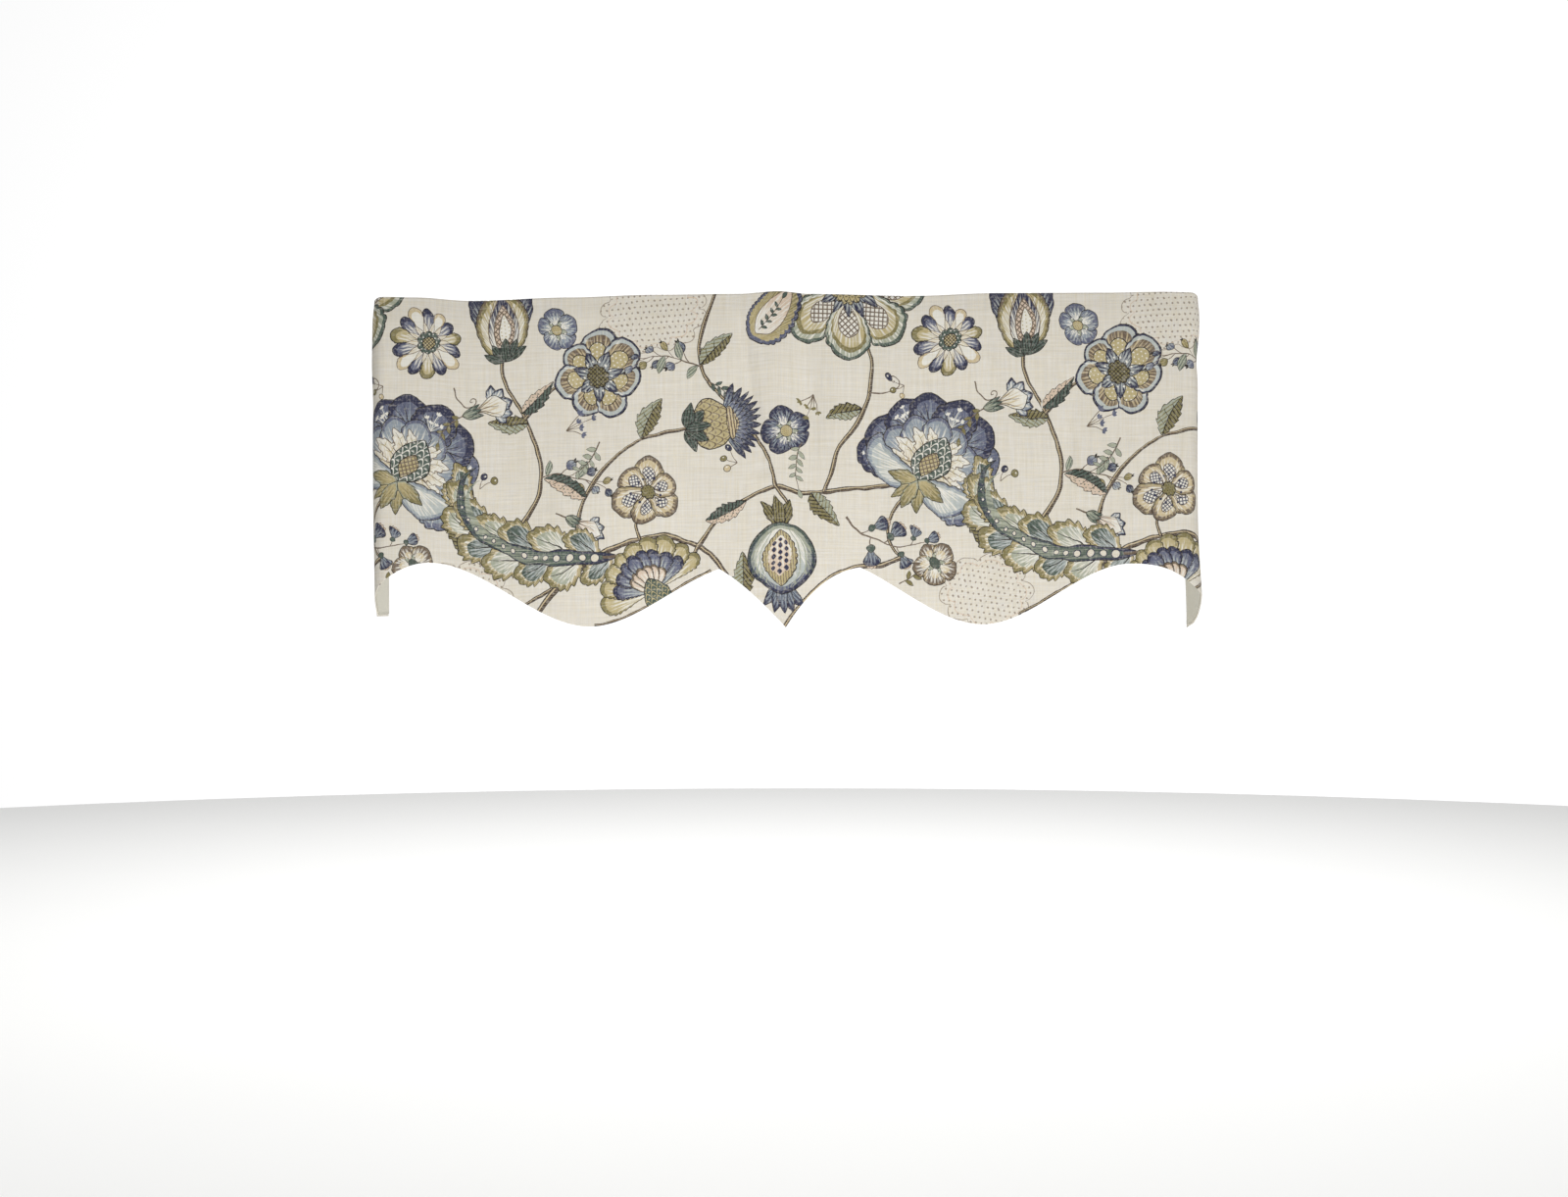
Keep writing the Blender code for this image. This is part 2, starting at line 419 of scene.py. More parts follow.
@dataclass(frozen=True)
class Pen:
    """Draws shapes at a place, turn and size on the flat cloth."""

    patches: list[Patch]
    place: complex = 0j
    scale: complex = 1 + 0j
    flip: bool = False

    def at(self, place: complex, turn: float = 0.0, size: float = 1.0, flip: bool = False) -> "Pen":
        """A pen whose own origin lies at a place of this one.

        Args:
            place: the new origin, in this pen's measures.
            turn: degrees, anticlockwise.
            size: how much larger the new pen draws.
            flip: whether it draws in mirror image.

        Returns:
            The new pen.
        """
        scale = size * cmath.exp(1j * math.radians(turn))
        if self.flip:
            place, scale = place.conjugate(), scale.conjugate()
        return Pen(self.patches, self.place + self.scale * place, self.scale * scale, self.flip != flip)

    def turned(self, place: complex, turns: Sequence[float]) -> "list[Pen]":
        """Pens at one place in several directions."""
        return [self.at(place, turn) for turn in turns]

    def shape(self, outline: Array, ink: Ink, tint: Ink | None = None, fill: Fill = PLAIN,
              unit: complex = 1, origin: complex = 0) -> None:
        """Print a closed shape.

        Args:
            outline: its points.
            ink: its colour.
            tint: the colour of the pattern in it.
            fill: the kind of pattern.
            unit: the pattern's first direction, as long as its measure.
            origin: where the pattern's own origin lies.
        """
        turn, shift = 1 / (self.scale * unit), self.place
        if self.flip:
            turn, shift = 1 / (self.scale.conjugate() * unit), shift.conjugate()
            outline = np.conj(outline)
        self.patches.append(Patch(self.place + self.scale * outline, ink, tint or ink, fill,
                                  turn, -shift * turn - origin / unit, self.flip))

    def edged(self, shape: Blade | Array, ink: Ink, tint: Ink | None = None, fill: Fill = PLAIN,
              unit: complex = 1, line: float = 0.9, origin: complex = 0, edge: Ink | None = None) -> None:
        """Print a blade or another closed shape with a darker line around it."""
        outline = shape.outline() if isinstance(shape, Blade) else shape
        self.shape(grown(outline, line / abs(self.scale)), edge or ink.edge)
        self.shape(outline, ink, tint, fill, unit, origin)

    def tuft(self, place: complex, turns: Sequence[float], blade: Blade, *look: object,
             **style: object) -> None:
        """Print edged blades of one look at one place in several directions."""
        for spot in self.turned(place, turns):
            spot.edged(blade, *look, **style)

    def stroke(self, points: Sequence[complex], widths: Sequence[float], detail: int, ink: Ink) -> None:
        """Print a line of changing width."""
        self.shape(ribbon(points, widths, detail), ink)

    def dot(self, place: complex, radius: float, detail: int, ink: Ink) -> None:
        """Print a small round dot."""
        self.at(place).shape(round_outline(radius, detail=detail), ink)


def grown(outline: Array, amount: float) -> Array:
    """A closed outline moved outwards by an amount."""
    along = np.roll(outline, -1) - np.roll(outline, 1)
    along = along / np.maximum(np.abs(along), 1e-9)
    area = np.sum((np.conj(outline) * np.roll(outline, -1)).imag)
    return outline - 1j * along * amount * (1 if area > 0 else -1)


def ribbon(points: Sequence[complex], widths: Sequence[float], detail: int) -> Array:
    """The closed outline of a smooth line of changing width through a few points."""
    knots = np.asarray(points, complex)
    count = len(knots)
    before = np.concatenate([[2 * knots[0] - knots[1]], knots, [2 * knots[-1] - knots[-2]]])
    place = np.linspace(0, count - 1, detail)
    first = np.minimum(place.astype(int), count - 2)
    share = place - first
    p0, p1, p2, p3 = (before[first + k] for k in range(4))
    line = 0.5 * (2 * p1 + (p2 - p0) * share + (2 * p0 - 5 * p1 + 4 * p2 - p3) * share ** 2
                  + (3 * p1 - p0 - 3 * p2 + p3) * share ** 3)
    way = np.gradient(line)
    side = 1j * way / np.abs(way)
    half = np.interp(place, np.linspace(0, count - 1, len(widths)), widths) / 2
    return np.concatenate([line - side * half, (line + side * half)[::-1]])


def round_outline(radius: float, lobes: int = 0, depth: float = 0.0, detail: int = 24,
                  stretch: float = 1.0) -> Array:
    """The outline of a disc, or of one with rounded lobes."""
    detail = max(detail, lobes * 7)
    turn = np.linspace(0, TAU, detail, endpoint=False)
    reach = np.full(detail, radius)
    if lobes:
        reach = radius * (1 - depth * (1 - np.abs(np.sin(turn * lobes / 2)) ** 0.7))
    return reach * (np.cos(turn) + 1j * stretch * np.sin(turn))


def around(count: int, start: float, sweep: float = 360) -> list[float]:
    """Directions in degrees spread over a sweep, or over a full turn without its end."""
    step = sweep / (count if abs(sweep) >= 360 else count - 1)
    return [start + step * place for place in range(count)]


def fan(count: int, sweep: float) -> list[float]:
    """Directions in degrees over a sweep about 0, the outermost first."""
    return sorted(around(count, -sweep / 2, sweep), key=lambda turn: -abs(turn))


# --- figures of the print


class Layer(NamedTuple):
    """One of the shapes nested in a blade: its share of the blade and how it is filled.

    The pattern's unit is in mm, or for a feathered shape in lengths of the shape.
    """

    share: float
    ink: Ink
    tint: Ink
    unit: float = 1.0
    fill: Fill = FEATHER


def nest(pen: Pen, blade: Blade, layers: Sequence[tuple], line: float = 1.15) -> None:
    """Print a blade and smaller ones in it.

    Args:
        pen: where its base lies.
        blade: the outermost shape.
        layers: the values of a Layer each, the outermost first; the feathered ones within it have no line.
        line: the width of the lines around the others, in mm.
    """
    for place, layer in enumerate(Layer(*row) for row in layers):
        start = 0.42 * (1 - layer.share)
        inner = replace(blade, length=blade.length * layer.share, width=blade.width * layer.share ** 1.25,
                        bend=blade.bend * layer.share, count=blade.count if layer.share > 0.72 else 0)
        spot = pen.at(blade.spot(start), blade.heading(start))
        look = (inner.outline(), layer.ink, layer.tint, layer.fill)
        if layer.fill is not FEATHER:
            spot.edged(*look, layer.unit, line)
        elif place == 0:
            spot.edged(*look, layer.unit * inner.length, line)
        else:
            spot.shape(*look, layer.unit * inner.length)


def nests(pen: Pen, place: complex, turns: Sequence[float], *nested: object) -> None:
    """Print nested blades at each of some turns about a place."""
    for spot in pen.turned(place, turns):
        nest(spot, *nested)


@dataclass(frozen=True)
class Leaf:
    """A serrated leaf in two halves with a middle rib and side veins."""

    length: float = 62
    width: float = 30
    bend: float = 0.35
    light: Ink = SAGE
    dark: Ink = OLIVE
    fill: Fill = HATCH

    def draw(self, pen: Pen) -> None:
        """Print it."""
        blade = Blade(self.length, self.width, self.bend, 0.42, 0.9, count=6, bite=0.24)
        pen.shape(grown(blade.outline(), 0.9), SOIL)
        pen.shape(blade.outline(0, -1), self.dark, SOIL, HATCH, cmath.rect(4.6, 0.9))
        pen.shape(blade.outline(0, 1), self.light, self.dark, self.fill, cmath.rect(4.6, -0.7))
        pen.stroke(blade.line(-0.05, 0.93, 5), (2.0, 0.6), 24, SOIL)
        for share in (0.28, 0.5, 0.7):
            foot = blade.spot(share)
            tip = complex(blade.reach(np.array(share + 0.13), 1.0)) * 0.8 + foot * 0.2
            pen.stroke([foot, (foot + tip) / 2 + 0.5j, tip], (1.1, 0.4), 8, SOIL)


@dataclass(frozen=True)
class Sprig:
    """A thin stem with small leaves on both sides and one at its tip."""

    length: float = 70
    bend: float = 0.8
    pairs: int = 5
    leaf: float = 13
    ink: Ink = SAGE

    def draw(self, pen: Pen) -> None:
        """Print it."""
        line = Blade(self.length, 1, self.bend)
        leaf = Blade(self.leaf, self.leaf * 0.42, detail=12)
        pen.stroke(line.line(0, 1, 6), (1.6, 0.8), 26, BROWN)
        for step in range(self.pairs):
            share = 0.16 + 0.74 * step / self.pairs
            for side in (-1, 1):
                heading = line.heading(share) + side * 46
                spot = pen.at(line.spot(share + 0.03 * side), heading, 1 - 0.35 * share)
                spot.edged(replace(leaf, bend=side * 0.3), self.ink, line=0.5)
        pen.at(line.spot(1.0), line.heading(1.0)).edged(leaf, self.ink, line=0.5)


@dataclass(frozen=True)
class Tendril:
    """A thin line that ends in a coil."""

    reach: float = 34
    radius: float = 13
    turns: float = 1.35

    def draw(self, pen: Pen) -> None:
        """Print it."""
        turn = np.linspace(0, self.turns * TAU, 14)
        coil = self.reach + (self.radius * np.exp(-0.30 * turn) * np.exp(1j * (turn - math.pi / 2))
                             + 1j * self.radius)
        pen.stroke([0, self.reach * 0.5 - 3j, *coil], (1.8, 1.3, 0.9), 90, BROWN)


@dataclass(frozen=True)
class Spray:
    """A tiny forked stem with pale buds, printed over dark petals or on its own."""

    length: float = 24
    ink: Ink = CREAM
    bud: Ink = CREAM

    def draw(self, pen: Pen) -> None:
        """Print it."""
        for turn, reach in ((-38, 0.66), (34, 0.74), (0, 1.0), (-14, 0.52), (18, 0.5)):
            tip = polar(self.length * reach, turn)
            pen.stroke([0, tip * 0.5 + 0.8j, tip], (1.3, 0.9), 8, self.ink)
            for spot in pen.turned(tip, (turn - 42, turn, turn + 42)):
                spot.shape(Blade(self.length * 0.2, self.length * 0.11, detail=8).outline(), self.bud)


@dataclass(frozen=True)
class Balls:
    """A few loose berries of different colours on fine stalks."""

    reach: float = 22
    inks: tuple[Ink, ...] = (NAVY, OLIVE, TAN)

    def draw(self, pen: Pen) -> None:
        """Print it."""
        for place, ink in enumerate(self.inks):
            spot = polar(self.reach * (1 - 0.16 * place), 46 * place - 40)
            pen.stroke([0, spot * 0.5 + 1.5j, spot], (1.1, 0.8), 8, BROWN)
            pen.at(spot).edged(round_outline(4.4 - 0.5 * place, detail=12), ink, line=0.75)
            pen.dot(spot + 1.0 - 1.2j, 1.1, 6, CREAM)


@dataclass(frozen=True)
class Veil:
    """A pale scalloped shape strewn with dots, behind the other figures."""

    radius: float = 62
    stretch: float = 0.72
    lobes: int = 11

    def draw(self, pen: Pen) -> None:
        """Print it."""
        for share, edge in ((1.0, DUST), (0.84, BLUSH)):
            outline = round_outline(self.radius * share, self.lobes, 0.16, 90, self.stretch)
            pen.edged(outline, GROUND, DUST, DOTS, 7.4, 1.0, edge=edge)


@dataclass(frozen=True)
class FiveFlower:
    """A small dark flower with five notched petals."""

    radius: float = 28
    ink: Ink = NAVY
    tint: Ink = INDIGO
    pale: Ink = BLUE
    eye: Ink = GOLD

    def draw(self, pen: Pen) -> None:
        """Print it."""
        petal = Blade(self.radius, self.radius * 0.98, peak=0.62, power=0.62, count=3, bite=0.10,
                      sharp=False, detail=26)
        nests(pen, 0, around(5, 90), petal, ((1.0, self.tint, self.ink), (0.84, self.pale, self.ink, 1.1),
                                             (0.48, CREAM, self.tint)), 0.9)
        pen.tuft(0, around(5, 54), Blade(self.radius * 0.5, 4.8, detail=12), SAGE, line=0.65)
        pen.edged(round_outline(self.radius * 0.24), self.eye, BROWN, DOTS, 2.6)
        for turn in around(10, 9):
            pen.dot(polar(self.radius * 0.42, turn), 1.1, 7, CREAM)


@dataclass(frozen=True)
class Aster:
    """A round flower of toothed wedge petals in three inks about a latticed eye."""

    radius: float = 46
    count: int = 14

    def draw(self, pen: Pen) -> None:
        """Print it."""
        petal = Blade(self.radius, 5.2 * self.radius / self.count, peak=0.80, power=0.6, count=7, bite=0.12,
                      detail=20)
        inks = ((NAVY, INDIGO), (TAN, CREAM), (NAVY, INDIGO), (OLIVE, GOLD))
        for place, turn in enumerate(around(self.count, 90)):
            ink, tint = inks[place % 4]
            nest(pen.at(0, turn, 1.0 if place % 2 else 0.93), petal,
                 ((1.0, tint, ink), (0.80, CREAM, tint, 1.05)), 1.0)
        pen.tuft(0, around(self.count, 90 + 180 / self.count),
                 Blade(self.radius * 0.60, 5.6, peak=0.6, detail=14), CREAM, TAN, FEATHER,
                 self.radius, 0.75)
        pen.edged(round_outline(self.radius * 0.32, 10, 0.2), MOSS, CREAM, DOTS, 5, 1.15)
        pen.edged(round_outline(self.radius * 0.17), GOLD, SOIL, LATTICE, 4.6, 1.0)


@dataclass(frozen=True)
class Anemone:
    """A pale open flower whose broad petals darken to blue tips, with long stamens."""

    radius: float = 46
    petals: int = 6

    def draw(self, pen: Pen) -> None:
        """Print it."""
        petal = Blade(self.radius, self.radius * 0.82, peak=0.64, power=0.62, count=4, bite=0.10,
                      sharp=False, detail=30)
        for place, turn in enumerate(around(self.petals, 72)):
            nest(pen.at(0, turn, (1.0, 0.88)[place % 2]), petal,
                 ((1.0, GOLD, BROWN), (0.91, TAN, BROWN, 1.25),
                  (0.78, CREAM, TAN, 1.1), (0.46, CREAM, NAVY, 6.0, LATTICE)), 1.0)
        for turn in around(15, 4):
            tip = polar(self.radius * (0.40 + 0.05 * math.cos(turn * 2.3)), turn)
            pen.stroke([0, tip * 0.5, tip], (1.0, 0.8), 5, BROWN)
            pen.dot(tip, 1.7, 8, NAVY)
        pen.edged(round_outline(self.radius * 0.19, 8, 0.2), OLIVE, SOIL, DOTS, 3.4, 1.15)


@dataclass(frozen=True)
class Rosette:
    """An open flower of pale petals, each with a patterned heart and a blue rim."""

    radius: float = 58
    petals: int = 7

    def draw(self, pen: Pen) -> None:
        """Print it."""
        petal = Blade(self.radius, self.radius * 0.78, peak=0.68, power=0.55, count=5, bite=0.10,
                      sharp=False, detail=34)
        for place, turn in enumerate(around(self.petals, 90)):
            nest(pen.at(0, turn, 1.0 - 0.07 * (place % 2)), petal,
                 ((1.0, INDIGO, NAVY), (0.94, CREAM, MIST),
                  (0.80, TAN, BROWN, 1.2), (0.52, GOLD, CREAM, 5.6, DOTS)))
        nests(pen, 0, around(self.petals, 90 + 180 / self.petals),
              Blade(self.radius * 0.56, self.radius * 0.24, peak=0.55, detail=20), ((1.0, MIST, NAVY),), 1.0)
        pen.edged(round_outline(self.radius * 0.24, 9, 0.22), OLIVE, SOIL, LATTICE, 5.4, 1.25)
        for turn in around(14, 5):
            pen.dot(polar(self.radius * 0.31, turn), 1.5, 8, CREAM)


@dataclass(frozen=True)
class Tulip:
    """A striped tulip seen from the side, growing along +x."""

    length: float = 104
    width: float = 74

    def draw(self, pen: Pen) -> None:
        """Print it."""
        back = Blade(self.length * 0.94, self.width * 0.36, power=0.9, count=5, bite=0.12, sharp=False)
        nests(pen, 6, (-27, 25, 0), back, ((1.0, INDIGO, NAVY), (0.88, MIST, NAVY)))
        for side in (-1, 1):
            wing = Blade(self.length, self.width * 0.46, bend=-0.95 * side, peak=0.42, power=0.85,
                         count=11, bite=0.08, sharp=False, hook=-0.9 * side)
            spot = pen.at(0, 33 * side)
            nest(spot, wing, ((1.0, OLIVE, BROWN), (0.88, GOLD, OLIVE), (0.72, CREAM, GOLD, 1.1)))
            spot.stroke(wing.line(0.1, 0.86, 5), (1.8, 0.5), 30, BROWN)
        nest(pen, Blade(self.length * 0.82, self.width * 0.50, peak=0.46, power=0.9),
             ((1.0, CREAM, NAVY), (0.72, BLUSH, BROWN, 7.0, LATTICE), (0.46, CREAM, GOLD, 5.0, DOTS)), 1.25)
        pen.tuft(-4, (-62, -30, 30, 62, 0), Blade(self.length * 0.30, 12, peak=0.45, detail=20), *SEPAL)


@dataclass(frozen=True)
class Globe:
    """A scaly flower head with a dark tuft, growing along +x."""

    length: float = 60
    width: float = 64
    tuft: float = 44

    def draw(self, pen: Pen) -> None:
        """Print it."""
        tufts = ((1.0, 13, 62, BLUE, NAVY), (0.74, 10, 50, MIST, INDIGO), (0.48, 7, 36, CREAM, TAN))
        for reach, count, lean, ink, tint in tufts:
            blade = Blade(self.tuft * reach * 1.25, 9, peak=0.6, power=0.8, detail=20)
            pen.tuft(self.length * 0.62, around(count, -lean, 2 * lean), blade, ink, tint, FEATHER,
                     self.tuft * reach * 1.1)
        pen.edged(Blade(self.length, self.width, peak=0.46, power=0.72), GOLD, BROWN, SCALES, 10, 1.35)
        collar = Blade(self.length * 0.2, self.width * 0.72, power=0.6)
        pen.edged(collar.outline() + self.length * 0.78, TAN, BROWN, BANDS, 3.6)
        pen.tuft(-5, (-74, -38, 38, 74, 0), Blade(29, 13, peak=0.42, detail=20), *SEPAL)


@dataclass(frozen=True)
class Bells:
    """A bending stem of hanging bells."""

    length: float = 120
    bend: float = -1.5
    count: int = 6

    def draw(self, pen: Pen) -> None:
        """Print it."""
        line = Blade(self.length, 1, self.bend)
        pen.stroke(line.line(0, 1, 7), (2.4, 1.2), 36, BROWN)
        for place in range(self.count):
            share = 0.26 + 0.74 * place / (self.count - 1)
            lean = (58 if place % 2 else -58) if place < self.count - 1 else 0
            foot = pen.at(line.spot(share), line.heading(share) + lean, 1.05 - 0.35 * share)
            foot.stroke([0, 6 + 1j, 12], (1.6, 1.2), 10, BROWN)
            foot.tuft(30, (-24, 24, 0), Blade(12, 8, detail=12), BLUSH, line=0.65)
            foot.at(11).edged(Blade(27, 22, peak=0.78, power=0.62, detail=24), BLUE, NAVY, FEATHER, 30)
            foot.at(10).edged(Blade(10, 10, peak=0.4, detail=12), MOSS, line=0.65)


@dataclass(frozen=True)
class Berries:
    """A forked sprig of dark berries with a few small leaves."""

    length: float = 92
    bend: float = 0.7
    count: int = 8

    def draw(self, pen: Pen) -> None:
        """Print it."""
        line = Blade(self.length, 1, self.bend)
        pen.stroke(line.line(0, 1, 6), (2.0, 1.0), 30, BROWN)
        for place in range(self.count):
            share = 0.22 + 0.78 * place / (self.count - 1)
            lean = (1 if place % 2 else -1) * (52 - 30 * share)
            foot = pen.at(line.spot(share), line.heading(share) + lean, 1.05 - 0.3 * share)
            foot.stroke([0, 8 + 1j, 16], (1.3, 1.0), 10, BROWN)
            ink, tint = ((NAVY, BLUE), (INDIGO, MIST), (OLIVE, GOLD))[place % 3]
            foot.at(15).edged(Blade(14, 12, peak=0.52, power=0.7, detail=18), ink, tint, FEATHER, 18, 0.75)
            for spot in foot.turned(27, (-24, 24)):
                spot.shape(Blade(6, 2.6, detail=8).outline(), SOIL)
        for share, side in ((0.1, 1), (0.34, -1), (0.62, 1)):
            pen.at(line.spot(share), line.heading(share) + side * 60).edged(
                Blade(24, 10, 0.4 * side, detail=18), SAGE, MOSS, HATCH, 3.4, 0.65)


@dataclass(frozen=True)
class Trumpet:
    """A flower with a long tube and a flared mouth, growing along +x."""

    length: float = 62
    width: float = 44
    ink: Ink = TAN

    def draw(self, pen: Pen) -> None:
        """Print it."""
        nests(pen, self.length * 0.66, (-70, 70, -38, 38, 0),
              Blade(self.width * 0.66, self.width * 0.40, peak=0.55, count=4, bite=0.12, detail=26),
              ((1.0, BLUE, NAVY), (0.84, CREAM, BLUE, 1.15)), 0.9)
        pen.edged(Blade(self.length, self.width * 0.62, peak=0.74, power=1.1), self.ink, CREAM, FEATHER,
                  self.length, 1.0)
        for lean in (-0.22, 0.0, 0.22):
            vein = Blade(self.length * 0.62, 1, lean).line(0, 1, 4)
            pen.at(self.length * 0.2, math.degrees(lean)).stroke(vein, (1.5, 0.4), 14, BROWN)
        pen.stroke([-18 - 3j, -8 - 1j, 2], (2.0, 2.6), 10, BROWN)
        pen.tuft(-2, (-17, 17, 0), Blade(self.length * 0.42, 7.5, peak=0.4, detail=16), SAGE, MOSS,
                 FEATHER, self.length * 0.4, 0.75)


@dataclass(frozen=True)
class Plume:
    """A long curling leaf with a row of toothed lobes on each side, growing along +x."""

    length: float = 300
    width: float = 118
    bend: float = 0.7
    hook: float = 2.2
    lobes: int = 7

    def draw(self, pen: Pen) -> None:
        """Print it."""
        body = Blade(self.length, self.width * 0.17, self.bend, 0.36, 0.8, hook=self.hook, detail=70)
        for place in reversed(range(self.lobes)):
            share = 0.06 + 0.86 * place / self.lobes
            size = math.sin(math.pi * (0.22 + 0.68 * share)) ** 0.9
            for side in (-1, 1):
                spot = pen.at(body.spot(share + 0.025 * side), body.heading(share) + side * (62 - 34 * share))
                self.draw_lobe(spot, side, size, place)
        nest(pen, body, ((1.0, NAVY, MOSS), (0.86, MOSS, SAGE)), 1.0)
        for place in range(15):
            share = 0.10 + 0.052 * place
            pen.at(body.spot(share)).edged(round_outline(4.6 * (1.08 - share), detail=12), CREAM, TAN,
                                           RAYS, line=1.15, edge=NAVY)
        pen.stroke(body.line(-0.05, 0.07, 4), (5.6, 3.0), 20, BROWN)

    def draw_lobe(self, pen: Pen, side: int, size: float, place: int) -> None:
        """Print one lobe with its toothed rim, pale band, dark heart and vein."""
        lobe = Blade(self.width * (0.64 if side > 0 else 0.54) * size, self.width * 0.42 * size, -0.95 * side,
                     0.56, 0.66, count=7, bite=0.26)
        heart, tip = ((MIST, MOSS), (CREAM, SAGE))[place % 2]
        nest(pen, lobe, ((1.0, GOLD, OLIVE), (0.90, TAN, OLIVE, 1.15),
                         (0.78, CREAM, GOLD, 1.3), (0.66, heart, tip)), 1.0)
        pen.stroke(lobe.line(0.0, 0.84, 5), (2.2, 0.6), 18, SOIL)


@dataclass(frozen=True)
class Carnation:
    """A fan of toothed petals in rows over a scaly cup, growing along +x."""

    radius: float = 72
    cup: float = 38

    def draw(self, pen: Pen) -> None:
        """Print it."""
        rows = ((1.0, 9, 156, (1.0, GOLD, OLIVE), (0.88, CREAM, GOLD, 1.05)),
                (0.76, 8, 126, (1.0, INDIGO, NAVY), (0.86, MIST, INDIGO)),
                (0.50, 6, 92, (1.0, TAN, BROWN), (0.86, CREAM, BLUSH)))
        for reach, count, sweep, *layers in rows:
            size = self.radius * reach
            petal = Blade(size, size * 0.40, peak=0.80, power=0.55, count=11, bite=0.17)
            nests(pen, 0, fan(count, sweep), petal, layers, 1.0)
        pen.at(-self.cup).edged(Blade(self.cup * 1.5, self.cup * 1.05, power=0.7), MOSS, GOLD,
                                SCALES, 8, 1.25)
        pen.tuft(-self.cup * 0.55, (-140, 140, -165, 165), Blade(34, 12, 0.5, 0.42, detail=20), SAGE,
                 MOSS, HATCH, 3.4, 0.75)


@dataclass(frozen=True)
class Pomegranate:
    """A round fruit, split to show its seeds, with a crown of small leaves, along +x."""

    length: float = 92
    width: float = 86

    def draw(self, pen: Pen) -> None:
        """Print it."""
        nests(pen, 4, (-150, 150, 180), Blade(38, 18, 0.2, 0.42, count=4, bite=0.2, detail=24),
              ((1.0, OLIVE, SOIL, 3.6, HATCH),), 0.9)
        nests(pen, self.length * 0.88, (-46, 46, -23, 23, 0), Blade(38, 15, peak=0.42, detail=22),
              ((1.0, BLUE, NAVY),), 0.9)
        nest(pen, Blade(self.length, self.width, peak=0.48, power=0.60, detail=50),
             ((1.0, MOSS, NAVY), (0.92, SAGE, INDIGO, 1.2), (0.82, CREAM, MIST)), 1.25)
        for side, lean in ((-1, 0.84), (-1, 0.66), (1, 0.84), (1, 0.66)):
            rib = [complex(self.length * share, side * self.width * 0.44 * lean
                           * math.sin(math.pi * share) ** 0.7) for share in (0.1, 0.3, 0.5, 0.7, 0.9)]
            pen.stroke(rib, (0.6, 1.9, 0.6), 26, SAGE)
        nest(pen.at(self.length * 0.10),
             Blade(self.length * 0.78, self.width * 0.50, power=0.8, count=9, bite=0.14, sharp=False),
             ((1.0, GOLD, BROWN, 3.6, HATCH), (0.74, CREAM, BLUSH)))
        for row in (-1, 0, 1):
            for place in range(6 - abs(row)):
                spot = self.length * (0.265 + 0.045 * abs(row) + 0.088 * place) + row * self.width * 0.088j
                pen.at(spot).edged(Blade(7.0, 5.2, detail=9).outline() - 3.5, NAVY, edge=BLUSH)


@dataclass(frozen=True)
class Palmette:
    """A wide flower of broad rimmed petals about a toothed heart, growing along +x."""

    radius: float = 96
    petals: int = 5

    def draw(self, pen: Pen) -> None:
        """Print it."""
        size = self.radius
        petal = Blade(size, size * 0.62, peak=0.68, power=0.58, count=8, bite=0.10, sharp=False, detail=50)
        nests(pen, 0, fan(self.petals, 176), petal, ((1.0, SAGE, MOSS), (0.93, CREAM, SAGE, 1.3),
                                                     (0.82, GOLD, OLIVE), (0.72, CREAM, GOLD, 1.2),
                                                     (0.50, CREAM, BROWN, 8.0, LATTICE)), 1.25)
        nests(pen, 0, around(7, -84, 168), Blade(size * 0.46, size * 0.15, detail=20),
              ((1.0, MIST, NAVY),), 1.0)
        pen.edged(round_outline(size * 0.28, 16, 0.2), GOLD, SOIL, SCALES, 8, 1.35)


@dataclass(frozen=True)
class Paisley:
    """A curled drop with a scalloped rim and a sprig inside, growing along +x."""

    length: float = 124
    width: float = 64
    bend: float = 0.5
    hook: float = 2.4

    def draw(self, pen: Pen) -> None:
        """Print it."""
        rim = Blade(self.length, self.width, self.bend, 0.36, 0.78, count=15, bite=0.13, sharp=False,
                    hook=self.hook)
        nest(pen, rim, ((1.0, INDIGO, NAVY), (0.90, GOLD, OLIVE, 1.1)))
        inner = Blade(self.length * 0.64, self.width * 0.52, self.bend * 0.8, 0.42, 0.8)
        nest(pen.at(self.length * 0.09), inner, ((1.0, CREAM, BLUSH),), 1.0)
        Sprig(self.length * 0.46, 0.3, 4, 10, MOSS).draw(pen.at(self.length * 0.14, 3))


